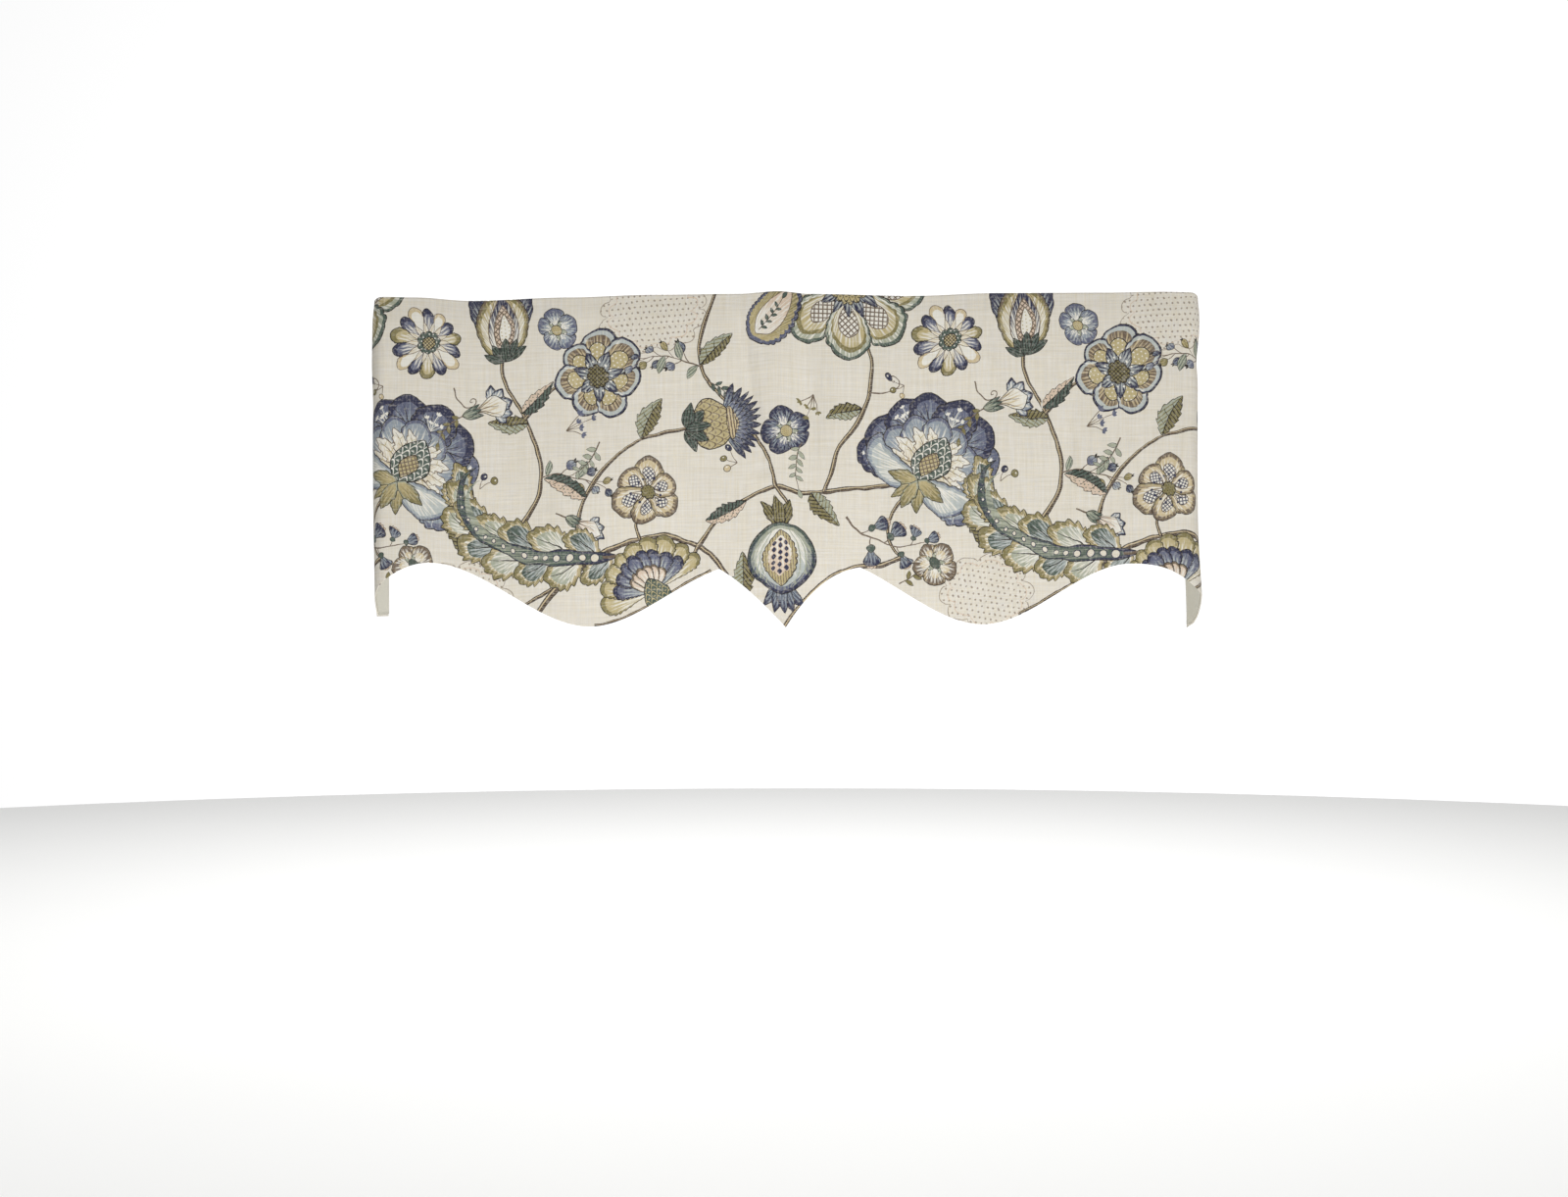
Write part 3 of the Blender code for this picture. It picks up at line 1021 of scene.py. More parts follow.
@dataclass(frozen=True)
class GreatBloom:
    """The large ruffled flower, seen from the side and growing along +x."""

    radius: float = 104
    ruffles: int = 9

    def draw(self, pen: Pen) -> None:
        """Print it."""
        ruffle = Blade(self.radius, self.radius * 0.60, peak=0.70, power=0.56, count=7, bite=0.13,
                       sharp=False, detail=50)
        for turn in fan(self.ruffles, 208):
            dark = turn > -30
            spot = pen.at(0, turn, 1.0 - 0.0009 * abs(turn))
            rim, body, base, *veins = ((NAVY, INDIGO, BLUE, SOIL, BLUE) if dark
                                       else (INDIGO, BLUE, MIST, CREAM, INDIGO))
            nest(spot, ruffle, ((1.0, body, rim), (0.93, body, rim, 1.05), (0.84, base, body, 1.05)), 1.35)
            for step, lean in enumerate((-0.46, -0.30, -0.14, 0.02, 0.18, 0.34, 0.48)):
                vein = Blade(self.radius * (0.42 - 0.05 * (step % 3)), 1, lean * 1.2)
                spot.at(self.radius * 0.54, math.degrees(lean)).stroke(vein.line(0, 0.9, 4), (0.5, 1.5, 0.4),
                                                                       10, veins[step % 2])
            if round(turn) % 4 == 0:
                Spray(26).draw(spot.at(self.radius * 0.62, 6))
        nests(pen, 0, fan(6, 150), Blade(self.radius * 0.70, self.radius * 0.42, peak=0.66, power=0.6,
                                         count=5, bite=0.14, sharp=False),
              ((1.0, MIST, INDIGO), (0.90, CREAM, BLUE)))
        self.draw_ruff(pen)
        self.draw_heart(pen)

    def draw_ruff(self, pen: Pen) -> None:
        """Print the pale toothed leaves about the heart."""
        for turn in (-104, 104, -82, 82, -58, 58, -34, 34, -11, 11):
            bend = 0.55 if turn > 0 else -0.55
            plume = Blade(self.radius * 0.56, self.radius * 0.22, bend, power=0.8, count=6, bite=0.34)
            spot = pen.at(0, turn)
            spot.edged(plume, CREAM, TAN, FEATHER, -self.radius * 0.5, 1.0, self.radius * 0.5)
            spot.stroke(plume.line(0.1, 0.9, 4), (1.6, 0.4), 18, BROWN)
            for share in (0.4, 0.58, 0.74):
                foot = plume.spot(share)
                for lean in (-1, 1):
                    spot.stroke([foot, foot + 2.5 + 2.5j * lean, foot + 5 + 5.5j * lean], (1.0, 0.4), 6, GOLD)

    def draw_heart(self, pen: Pen) -> None:
        """Print the scaly heart, the drooping petals and the sepals."""
        for side in (-1, 1):
            droop = Blade(self.radius * 0.92, self.radius * 0.36, -1.5 * side, power=0.7, hook=-1.0 * side,
                          count=5, bite=0.10, sharp=False, detail=44)
            nest(pen.at(-8, 128 * side), droop, ((1.0, BLUE, INDIGO), (0.90, MIST, BLUE, 1.1),
                                                 (0.74, CREAM, MIST)), 1.25)
        base = pen.at(-14)
        base.edged(Blade(self.radius * 0.60, self.radius * 0.50, peak=0.44, power=0.75, detail=44), MOSS,
                   CREAM, SCALES, 10.5, 1.45)
        base.edged(Blade(self.radius * 0.30, self.radius * 0.24).outline() + 6, GOLD, BROWN,
                   LATTICE, 7.0, 1.25)
        nests(pen, -16, (-150, 150, -100, 100, 180), Blade(42, 19, 0.0, 0.42, count=4, bite=0.18, detail=28),
              ((1.0, SAGE, OLIVE), (0.84, GOLD, OLIVE, 1.1)), 1.0)


@dataclass(frozen=True)
class Stem:
    """A woody stem through a few places of the flat cloth, along and down, in mm."""

    way: tuple[tuple[float, float], ...]
    thick: float = 6.0
    thin: float = 3.0

    def draw(self, pen: Pen) -> None:
        """Print it."""
        points = [complex(along, -down) for along, down in self.way]
        detail = 14 * len(points)
        pen.stroke(points, (self.thick + 1.4, self.thin + 1.2), detail, SOIL)
        pen.shape(ribbon(points, (self.thick, self.thin), detail), BROWN, SOIL, HATCH, 2.8 + 0.4j)
        shine = [spot + complex(-0.16, 0.16) * self.thick for spot in points]
        pen.stroke(shine, (self.thick * 0.26, self.thin * 0.22), detail, TAN)


class Spot(NamedTuple):
    """Where a figure is printed: mm along and down the cloth, and its turn in degrees."""

    figure: object
    along: float
    down: float
    turn: float = 0.0
    size: float = 1.0
    flip: bool = False


class Sway(NamedTuple):
    """One wave of a drawn print's unevenness: its waves in a repeat each way, and its reach in mm."""

    along: int
    up: int
    start: float
    lean: float
    reach: float


SWAYS = tuple(Sway(*row) for row in (
    (5, 4, 0.4, 0.6, 2.6), (-7, 6, 1.9, 2.1, 1.9), (15, 9, 2.6, 3.9, 0.9), (-12, 19, 5.1, 5.2, 0.8),
    (33, -27, 3.3, 1.2, 0.35), (24, 41, 0.9, 4.4, 0.30),
))

STEMS = tuple(Stem(*row) for row in (
    (((-352, 500), (-330, 420), (-262, 352), (-190, 322), (-118, 334), (-66, 400), (-50, 480)), 6.4, 5),
    (((-262, 352), (-276, 300), (-250, 240), (-200, 196), (-128, 178)), 5.6, 3),
    (((-118, 334), (-78, 286), (-14, 262), (52, 262), (110, 256), (166, 240)), 6, 4),
    (((300, 330), (262, 300), (232, 262), (196, 246)), 5, 4),
    (((52, 262), (66, 206), (100, 160), (112, 100), (96, 40), (90, -10)), 4.6, 3),
    (((-14, 262), (-24, 214), (-60, 160), (-104, 112), (-112, 60), (-86, -20)), 4.8, 3.2),
    (((300, 330), (348, 290), (362, 230), (344, 160), (318, 110), (316, 60)), 5.6, 4),
    (((344, 160), (384, 122), (426, 108)), 3.6, 2.4), (((-118, 334), (-128, 352), (-152, 372)), 4, 3),
    (((-14, 262), (2, 286), (-8, 310)), 4, 3), (((-190, 322), (-196, 300), (-186, 266)), 3.4, 2.2),
    (((164, 262), (138, 292), (136, 328), (160, 352), (194, 356)), 3.6, 2.2),
    # The last three stems follow the lower edge where it rises to the right: painted shadow, dark lines for
    # the valance's cast shadow beside that edge, drawn as printed stems.
    (((150, 346), (126, 356), (100, 359), (60, 375), (32, 397), (17, 418), (-4, 449)), 4.4, 6.4),
    (((-249, 432), (-235, 431), (-214, 425), (-193, 417), (-163, 402),
      (-135, 386), (-114, 375), (-100, 368)), 1.6, 3.0),
    (((308, 425), (331, 414), (354, 401), (383, 383)), 2.2, 2.8),
))

SPOTS = tuple(Spot(*row) for row in (
    (Veil(72, 0.72, 12), -176, 28, 4), (Veil(64, 0.8, 10), 262, 396, -12),
    (Sprig(76, -0.5, 6, 12, MOSS), -104, 116, -22), (Plume(), -224, 344, 186, 0.98, True),
    (Leaf(70, 34), -62, 410, 76), (Leaf(60, 30, 0.3, BLUSH, MOSS, DOTS), -262, 262, 152),
    (Leaf(58, 30, -0.4), -190, 190, 76), (Globe(), -126, 178, 8, 1.04), (Anemone(46), -184, 262, 12),
    (Carnation(), -172, 392, 118), (Pomegranate(), -10, 306, 274), (Leaf(56, 28), 34, 262, 302),
    (Leaf(56, 28, -0.4, BLUSH, MOSS, DOTS), -54, 276, 214),
    (Berries(88, 0.7, 8), -108, 96, 156), (Leaf(54, 26, -0.3), -112, 92, 52), (FiveFlower(31), 0, 184, 20),
    (Sprig(58, 0.7, 4), 22, 200, 246), (Palmette(100), 84, -12, 268), (Paisley(), -48, 64, 40, 0.94),
    (Leaf(48, 24), 100, 152, 186), (Tendril(), 108, 130, 8), (GreatBloom(), 184, 232, 58),
    (Leaf(66, 32, -0.5), 240, 274, 300), (Bells(112, -1.4), 80, 292, 300, 1.0, True),
    (Rosette(60), 440, 106, 0), (Leaf(58, 28, -0.3), 348, 166, 186),
    (Leaf(54, 26, 0.3, BLUSH, MOSS, DOTS), 340, 152, 36), (Berries(84, -0.7, 7), 362, 240, 14),
    (Tulip(), 318, 80, 96, 0.98), (Aster(48), 214, 62, 0), (Tendril(30, 11), 246, 116, 300),
    (FiveFlower(27, INDIGO, BLUE, MIST), 386, 44, 10), (Trumpet(), 262, 156, 20, 0.96),
    (Sprig(50, 0.8, 3, 12, OLIVE), 262, 156, 206), (Sprig(62, 0.8, 4, 13, OLIVE), 150, 382, 20),
    (FiveFlower(30, BROWN, TAN, CREAM, MOSS), 196, 356, 30),
    (Trumpet(54, 38, BLUSH), 396, 292, 330, 0.94), (Sprig(58, -0.8, 4), 440, 196, 250),
    (Balls(), -66, 226, 160), (Balls(20, (OLIVE, NAVY)), 286, 250, 70), (Balls(24), 156, 118, 200),
    (Spray(34, BROWN, INDIGO), 396, 176, 20), (Spray(34, BROWN, OLIVE), 36, 132, 250),
))


@dataclass
class Print:
    """The whole print: figures in one repeat, which comes again along the cloth."""

    repeat: float = 686
    times: tuple[int, ...] = (-1, 0, 1)
    reach: float = 660
    lowest: float = -460
    highest: float = 36
    patches: list[Patch] = field(default_factory=list)

    def draw(self) -> list[Patch]:
        """Draw every figure in each repeat that meets the cloth.

        Returns:
            The patches, the lowest first.
        """
        veils = [spot for spot in SPOTS if isinstance(spot.figure, Veil)]
        rest = [spot for spot in SPOTS if not isinstance(spot.figure, Veil)]
        for layer in (veils, [Spot(stem, 0, 0) for stem in STEMS], rest):
            for time in self.times:
                pen = Pen(self.patches, complex(time * self.repeat, 0))
                for spot in layer:
                    spot.figure.draw(pen.at(complex(spot.along, -spot.down), spot.turn, spot.size, spot.flip))
        return [replace(patch, outline=self.by_hand(patch.outline)) for patch in self.patches
                if self.meets(patch)]

    def by_hand(self, places: Array) -> Array:
        """Places moved as little as a hand drifts, the same in each repeat."""
        moved = places.copy()
        for sway in SWAYS:
            phase = TAU / self.repeat * (sway.along * places.real + sway.up * places.imag) + sway.start
            moved += cmath.rect(sway.reach, sway.lean) * np.sin(phase)
        return moved

    def meets(self, patch: Patch) -> bool:
        """Whether a patch reaches the cloth."""
        across, height = patch.outline.real, patch.outline.imag
        return (across.max() > -self.reach and across.min() < self.reach
                and height.max() > self.lowest and height.min() < self.highest)


# --- materials


class Nodes:
    """Adds shader nodes to a tree, each in one call, and links what is passed to them."""

    def __init__(self, tree: NodeTree) -> None:
        """Work in a tree."""
        self.tree = tree

    def fill(self, node: Node, sockets: dict) -> None:
        """Link sockets to a node's inputs, by name or number, or set their values."""
        for name, value in sockets.items():
            if isinstance(value, Socket):
                self.tree.links.new(value, node.inputs[name])
            else:
                node.inputs[name].default_value = value

    def add(self, kind: str, sockets: dict | None = None, **settings: object) -> Node:
        """Add a node.

        Args:
            kind: its type, without the ShaderNode in front.
            sockets: what goes into its inputs, by name or number: a socket or a value.
            settings: its own settings.

        Returns:
            The node.
        """
        node = self.tree.nodes.new(kind if kind.startswith("Node") else "ShaderNode" + kind)
        for name, value in settings.items():
            setattr(node, name, value)
        self.fill(node, sockets or {})
        return node

    def math(self, operation: str, *values: object) -> Socket:
        """The result of a sum on numbers."""
        return self.add("Math", dict(enumerate(values)), operation=operation).outputs[0]

    def plus(self, a: object, b: object) -> Socket:
        """The sum a + b."""
        return self.math("ADD", a, b)

    def minus(self, a: object, b: object) -> Socket:
        """The difference a - b."""
        return self.math("SUBTRACT", a, b)

    def times(self, a: object, b: object) -> Socket:
        """The product a b."""
        return self.math("MULTIPLY", a, b)

    def line(self, a: object, b: object, c: object) -> Socket:
        """The sum a b + c."""
        return self.math("MULTIPLY_ADD", a, b, c)

    def rest(self, a: object) -> Socket:
        """What is over the whole number below a."""
        return self.math("FRACT", a)

    def size(self, a: object) -> Socket:
        """The value of a without its sign."""
        return self.math("ABSOLUTE", a)

    def group(self, tree: NodeTree, **sockets: object) -> bpy.types.bpy_prop_collection:
        """What a node group gives out for what is put in."""
        return self.add("Group", sockets, node_tree=tree).outputs

    def scaled(self, a: object, factor: float) -> Socket:
        """A vector times a number."""
        return self.add("VectorMath", {0: a, "Scale": factor}, operation="SCALE").outputs[0]

    def blend(self, share: object, a: object, b: object, mode: str = "MIX") -> Socket:
        """A mix of two colours."""
        return self.add("Mix", {0: share, 6: a, 7: b}, data_type="RGBA", blend_type=mode).outputs[2]

    def noise(self, place: object, scale: float, detail: float = 2.0) -> Socket:
        """Soft noise from 0 to 1 at a place."""
        return self.add("TexNoise", {"Vector": place, "Scale": scale, "Detail": detail}).outputs[0]

    def step(self, value: object, low: float, high: float) -> Socket:
        """A soft step from 0 to 1 as a value goes from low to high."""
        return self.add("MapRange", {0: value, 1: low, 2: high, 3: 0.0, 4: 1.0},
                        interpolation_type="SMOOTHSTEP").outputs[0]

    def stored(self, name: str, output: str) -> Socket:
        """What a piece's cloth holds under a name."""
        return self.add("Attribute", attribute_name=name).outputs[output]

    def bump(self, height: object, strength: float, distance: float) -> Socket:
        """The normal of a fine relief."""
        return self.add("Bump", {"Height": height, "Strength": strength, "Distance": distance}).outputs[0]

    def cloth_place(self) -> Socket:
        """The place on the flat cloth, in mm, from a piece's own map."""
        return self.scaled(self.add("UVMap", uv_map="Cloth").outputs[0], 1 / MM)


def linear(colour: Sequence[float], alpha: float = 1.0) -> tuple[float, ...]:
    """A screen colour as the linear one that materials take."""
    light = [c / 12.92 if c <= 0.04045 else ((c + 0.055) / 1.055) ** 2.4 for c in colour]
    return (*light, alpha)


def new_group(name: str, vector: str, numbers: dict[str, float], outputs: Sequence[str]) -> Nodes:
    """A shader node group with a vector and numbers put in, and numbers given out."""
    nodes = Nodes(bpy.data.node_groups.new(name, "ShaderNodeTree"))
    new_socket = nodes.tree.interface.new_socket
    new_socket(vector, in_out="INPUT", socket_type="NodeSocketVector")
    for label, value in numbers.items():
        new_socket(label, in_out="INPUT", socket_type="NodeSocketFloat").default_value = value
    for label in outputs:
        new_socket(label, in_out="OUTPUT", socket_type="NodeSocketFloat")
    return nodes


@dataclass(frozen=True)
class PatternGroup:
    """The node group that draws the fine pattern inside each printed shape."""

    name: str = "printed_pattern"
    soft: float = 0.10
    strokes: float = 42.0
    ray_count: int = 40

    def build(self) -> NodeTree:
        """Build the group: Pattern holds two coordinates and the kind of fill, Measure its unit in m / 10."""
        nodes = new_group(self.name, "Pattern", {"Measure": 1.0}, ("Mask",))
        start = nodes.add("NodeGroupInput").outputs
        p, q, kind = nodes.add("SeparateXYZ", {0: start["Pattern"]}).outputs
        wobble = nodes.line(nodes.noise(start["Pattern"], 1.3), 0.5, -0.25)
        masks = {FEATHER: self.feather(nodes, p, q, start["Measure"]),
                 DOTS: self.dots(nodes, nodes.plus(p, wobble), nodes.minus(q, wobble)),
                 LATTICE: nodes.math("MAXIMUM", self.lines(nodes, nodes.plus(p, q), 0.15),
                                     self.lines(nodes, nodes.minus(p, q), 0.15)),
                 SCALES: self.scales(nodes, p, q), HATCH: self.lines(nodes, nodes.plus(q, wobble), 0.15),
                 RAYS: self.lines(nodes, nodes.times(nodes.math("ARCTAN2", q, p), self.ray_count / TAU),
                                  0.16), BANDS: self.lines(nodes, nodes.plus(p, wobble), 0.22),}
        total: object = 0.0
        for fill, mask in masks.items():
            total = nodes.line(nodes.math("COMPARE", kind, float(fill.value), 0.4), mask, total)
        nodes.add("NodeGroupOutput", {"Mask": total})
        return nodes.tree

    def lines(self, nodes: Nodes, value: object, half: float) -> Socket:
        """A line of a half width about each half number of a value."""
        away = nodes.size(nodes.minus(nodes.rest(value), 0.5))
        return nodes.step(away, half + self.soft / 2, half - self.soft / 2)

    def feather(self, nodes: Nodes, p: object, q: object, measure: object) -> Socket:
        """Long and short strokes that fan out from the base and turn to the tint at the tip."""
        spread = nodes.math("DIVIDE", q, nodes.plus(nodes.size(p), 0.25))
        strokes = nodes.times(nodes.times(spread, measure), self.strokes)
        spot = nodes.add("CombineXYZ", {0: strokes, 1: nodes.times(p, 2.2)}).outputs[0]
        level = nodes.plus(nodes.times(p, 1.1), nodes.times(nodes.noise(spot, 1.0), 3.4))
        return nodes.step(level, 1.85, 2.65)

    def rows(self, nodes: Nodes, along: object, across: object) -> Socket:
        """Places from -0.5 to 0.5 along rows, each row half a step on from the last."""
        shift = nodes.times(nodes.math("FLOORED_MODULO", nodes.math("FLOOR", across), 2.0), 0.5)
        return nodes.minus(nodes.rest(nodes.plus(along, shift)), 0.5)

    def dots(self, nodes: Nodes, p: object, q: object) -> Socket:
        """Dots in rows, each row half a step along."""
        across = self.rows(nodes, p, q)
        height = nodes.minus(nodes.rest(q), 0.5)
        away = nodes.math("SQRT", nodes.plus(nodes.times(across, across), nodes.times(height, height)))
        return nodes.step(away, 0.22, 0.14)

    def scales(self, nodes: Nodes, p: object, q: object) -> Socket:
        """Overlapping round scales, their open ends along +x."""
        across = self.rows(nodes, q, p)
        curve = nodes.plus(nodes.rest(p), nodes.times(nodes.times(across, across), 3.2))
        rim = nodes.step(nodes.size(nodes.minus(curve, 0.88)), 0.16, 0.07)
        return nodes.math("MAXIMUM", rim, nodes.step(curve, 0.34, 0.0))


@dataclass(frozen=True)
class WeaveGroup:
    """The node group of a plain weave with thick and thin threads, in mm."""

    name: str = "plain_weave"

    def build(self) -> NodeTree:
        """Build the group: Place is in mm, Pitch the threads' spacing, Slub their unevenness; GapShade is
        painted shade in the grooves between threads.
        """
        nodes = new_group(self.name, "Place", {"Pitch": 0.7, "Slub": 1.0},
                          ("Height", "Shade", "GapShade", "Warmth"))
        start = nodes.add("NodeGroupInput").outputs
        place = start["Place"]
        drift = nodes.add("TexNoise", {"Vector": place, "Scale": 0.05, "Detail": 1.0}).outputs[1]
        bent = nodes.add("VectorMath", {0: place, 1: nodes.scaled(drift, 1.6)}, operation="ADD").outputs[0]
        parts = nodes.add("SeparateXYZ", {0: bent}).outputs
        across, height = (nodes.math("DIVIDE", parts[k], start["Pitch"]) for k in (0, 1))
        warp, weft = (nodes.size(nodes.math("SINE", nodes.times(way, math.pi))) for way in (across, height))
        cell = nodes.plus(nodes.math("FLOOR", across), nodes.math("FLOOR", height))
        over = nodes.math("FLOORED_MODULO", cell, 2.0)
        rise = nodes.add("Mix", {0: over, 2: warp, 3: weft}, data_type="FLOAT").outputs[0]
        slubs: object = 0.0
        for seed, weight, along, across_step in ((5.0, 0.7, 0.035, 1.15), (3.0, 0.8, 0.014, 0.38)):
            slubs = nodes.line(self.streak(nodes, place, (along, across_step, 0.0), seed), weight, slubs)
            slubs = nodes.line(self.streak(nodes, place, (across_step * 0.9, along * 0.8, 0.0), seed + 4.0),
                               weight * 0.75, slubs)
        slubs = nodes.times(slubs, start["Slub"])
        nodes.add("NodeGroupOutput", {
            "Height": nodes.plus(nodes.times(rise, 0.5), slubs), "Shade": slubs,
            # GapShade: painted shade, one along the grooves between threads.
            "GapShade": nodes.step(nodes.times(warp, weft), 0.22, 0.0),
            "Warmth": nodes.plus(self.streak(nodes, place, (0.022, 0.60, 0.0), 21.0),
                                 self.streak(nodes, place, (0.52, 0.020, 0.0), 27.0))})
        return nodes.tree

    def streak(self, nodes: Nodes, place: object, scale: Triple, seed: float) -> Socket:
        """Noise drawn out along the threads, from -1 to 1."""
        spot = nodes.add("Mapping", {0: place, "Location": (seed * 7.3, seed * 3.1, seed), "Scale": scale})
        node = nodes.add("TexNoise", {"Vector": spot.outputs[0], "Scale": 1.0, "Detail": 2.0,
                                      "Roughness": 0.6})
        return nodes.line(node.outputs[0], 2.0, -1.0)


def new_material(name: str) -> tuple[Material, Nodes, Node]:
    """An empty material with its nodes and its surface shader."""
    material = bpy.data.materials.new(name)
    material.use_nodes = True
    return material, Nodes(material.node_tree), material.node_tree.nodes["Principled BSDF"]


@dataclass(frozen=True)
class PrintedCloth:
    """Cream linen-look furnishing cloth with its print."""

    pitch: float = 0.72
    roughness: float = 0.88
    sheen: float = 0.12
    bump: float = 0.35
    warm_tone: Triple = (0.020, -0.016, -0.120)

    def build(self, weave: NodeTree, pattern: NodeTree) -> Material:
        """Build the material.

        Args:
            weave: the weave's node group.
            pattern: the node group of the print's fine patterns.

        Returns:
            The material.
        """
        material, nodes, surface = new_material("printed_cloth")
        place = nodes.cloth_place()
        fine = nodes.group(pattern, Pattern=nodes.stored("pattern", "Vector"),
                           Measure=nodes.stored("tint", "Alpha"))
        inked = nodes.blend(fine["Mask"], nodes.stored("ink", "Color"), nodes.stored("tint", "Color"))
        threads = nodes.group(weave, Place=place, Pitch=self.pitch, Slub=1.0)
        shade = threads["Shade"]
        mottle = nodes.noise(place, 0.26, 4.0)
        thin = nodes.times(nodes.step(mottle, 0.50, 0.68), 0.20)
        starved = nodes.line(nodes.step(shade, 0.05, 0.75), 0.28, thin)
        print_colour = nodes.blend(starved, inked, linear(GROUND.value))
        clouds = nodes.line(nodes.noise(place, 0.016, 3.0), 0.05, nodes.line(mottle, 0.06, -0.03))
        # Slubs and clouds are random tone; the cloth is also a tenth darker in the grooves between threads,
        # which is painted shade.
        bright = nodes.line(threads["GapShade"], -0.10, nodes.plus(nodes.line(shade, 0.150, 0.965), clouds))
        warmth = nodes.line(shade, -0.5, threads["Warmth"])
        tones = {channel: nodes.line(warmth, share, bright) for channel, share in enumerate(self.warm_tone)}
        tone = nodes.add("CombineColor", tones).outputs[0]
        nodes.fill(surface, {"Base Color": nodes.blend(1.0, print_colour, tone, "MULTIPLY"),
                             "Roughness": nodes.line(shade, 0.05, self.roughness),
                             "Sheen Weight": self.sheen, "Specular IOR Level": 0.25,
                             "Normal": nodes.bump(threads["Height"], self.bump, 0.0004)})
        return material


@dataclass(frozen=True)
class LiningCloth:
    """Plain cotton lining, off-white cream, its colour set greyer and darker as painted shade."""

    # Greyer and darker than the cream lining itself: painted shade for the shade the lining hangs in.
    colour: Triple = (0.748, 0.734, 0.680)
    pitch: float = 0.45
    roughness: float = 0.9
    sheen: float = 0.10
    bump: float = 0.22

    def build(self, weave: NodeTree) -> Material:
        """Build the material from the weave's node group."""
        material, nodes, surface = new_material("lining_cloth")
        place = nodes.cloth_place()
        threads = nodes.group(weave, Place=place, Pitch=self.pitch, Slub=0.35)
        bright = nodes.plus(nodes.line(threads["Shade"], 0.10, 0.96),
                            nodes.times(nodes.noise(place, 0.012, 3.0), 0.06))
        # Painted shade: eight per cent darker in the grooves between threads.
        bright = nodes.line(threads["GapShade"], -0.08, bright)
        tone = nodes.add("CombineColor", {0: bright, 1: bright, 2: bright}).outputs[0]
        nodes.fill(surface, {"Base Color": nodes.blend(1.0, linear(self.colour), tone, "MULTIPLY"),
                             "Roughness": self.roughness,
                             "Sheen Weight": self.sheen, "Specular IOR Level": 0.25,
                             "Normal": nodes.bump(threads["Height"], self.bump, 0.0003)})
        return material


@dataclass(frozen=True)
class Thread:
    """Cream sewing thread, with its twist."""

    colour: Triple = (0.86, 0.84, 0.78)
    roughness: float = 0.7
    twist: float = 2600.0

    def build(self) -> Material:
        """Build the material."""
        material, nodes, surface = new_material("thread")
        place = nodes.add("TexCoord").outputs["Object"]
        wave = nodes.add("TexWave", {"Vector": place, "Scale": self.twist, "Distortion": 0.6},
                         bands_direction="DIAGONAL").outputs["Fac"]
        # Painted shade of the twist: diagonal stripes 14 per cent darker along its grooves, beside the
        # twist's bump.
        dark = linear([0.86 * level for level in self.colour])
        nodes.fill(surface, {"Base Color": nodes.blend(wave, dark, linear(self.colour)),
                             "Roughness": self.roughness, "Normal": nodes.bump(wave, 0.3, 0.0001)})
        return material


@dataclass(frozen=True)
class PlainFinish:
    """A matt floor with the faintest unevenness."""

    name: str = "studio_floor"
    colour: Triple = (0.93, 0.93, 0.925)
    roughness: float = 0.95

    def build(self) -> Material:
        """Build the material."""
        material, nodes, surface = new_material(self.name)
        share = nodes.times(nodes.noise(nodes.add("TexCoord").outputs["Object"], 2.0), 0.03)
        nodes.fill(surface, {"Base Color": nodes.blend(share, linear(self.colour), linear((0.8, 0.8, 0.8))),
                             "Roughness": self.roughness})
        return material


# --- cutting flat cloth


def simplified(line: Array, slack: float) -> Array:
    """The points that an open line needs to keep its way to within a slack."""
    keep = np.zeros(len(line), bool)
    keep[[0, -1]] = True
    spans = [(0, len(line) - 1)]
    while spans:
        first, last = spans.pop()
        if last - first < 2:
            continue
        part, chord = line[first + 1:last] - line[first], line[last] - line[first]
        away = np.abs(part)
        if abs(chord) > 1e-9:
            place = part / chord
            away = np.hypot(place.imag, place.real - np.clip(place.real, 0, 1)) * abs(chord)
        worst = int(np.argmax(away))
        if away[worst] > slack:
            keep[first + 1 + worst] = True
            spans += [(first, first + 1 + worst), (first + 1 + worst, last)]
    return line[keep]


def inside(outline: Array, spots: Array, block: int = 4000) -> Array:
    """Which spots lie inside a closed outline."""
    start, end = outline[:, None], np.roll(outline, -1)[:, None]
    height = np.where(end.imag == start.imag, 1.0, end.imag - start.imag)
    lean = (end.real - start.real) / height
    found = []
    for first in range(0, len(spots), block):
        part = spots[first:first + block]
        rises = (end.imag > part.imag).astype(np.int8) - (start.imag > part.imag)
        crossing = start.real + (part.imag - start.imag) * lean
        found.append(np.sum(rises * (part.real < crossing), axis=0) != 0)
    return np.concatenate(found) if found else np.zeros(0, bool)


def joined(lines: Sequence[Array], closed: bool) -> tuple[Array, Array]:
    """The spots of many lines, and pairs of numbers for the steps between them."""
    pairs = []
    base = 0
    for line in lines:
        step = np.arange(len(line) - (0 if closed else 1))
        pairs.append(base + np.stack([step, (step + 1) % len(line)], axis=1))
        base += len(line)
    return np.concatenate(lines), np.concatenate(pairs)


class Cut(NamedTuple):
    """A flat sheet cut into triangles: its spots, and three spot numbers each."""

    spots: Array
    triangles: Array

    def kept(self, which: Array) -> "Cut":
        """The sheet with some of its triangles only."""
        return Cut(self.spots, self.triangles[which])


def cut_flat(spots: Array, pairs: Array, merge: float = 0.02) -> Cut:
    """Cut the flat sheet into triangles that keep to given lines.

    Args:
        spots: places on the flat sheet, in mm.
        pairs: the spots that a line joins.
        merge: spots nearer to each other than this become one.

    Returns:
        The cut sheet.
    """
    result = geometry.delaunay_2d_cdt([Vector((z.real, z.imag)) for z in spots],
                                      [tuple(pair) for pair in pairs.tolist()], [], 0, merge, False)
    flat = np.array([tuple(spot) for spot in result[0]])
    return Cut(flat[:, 0] + 1j * flat[:, 1], np.array(result[2]))


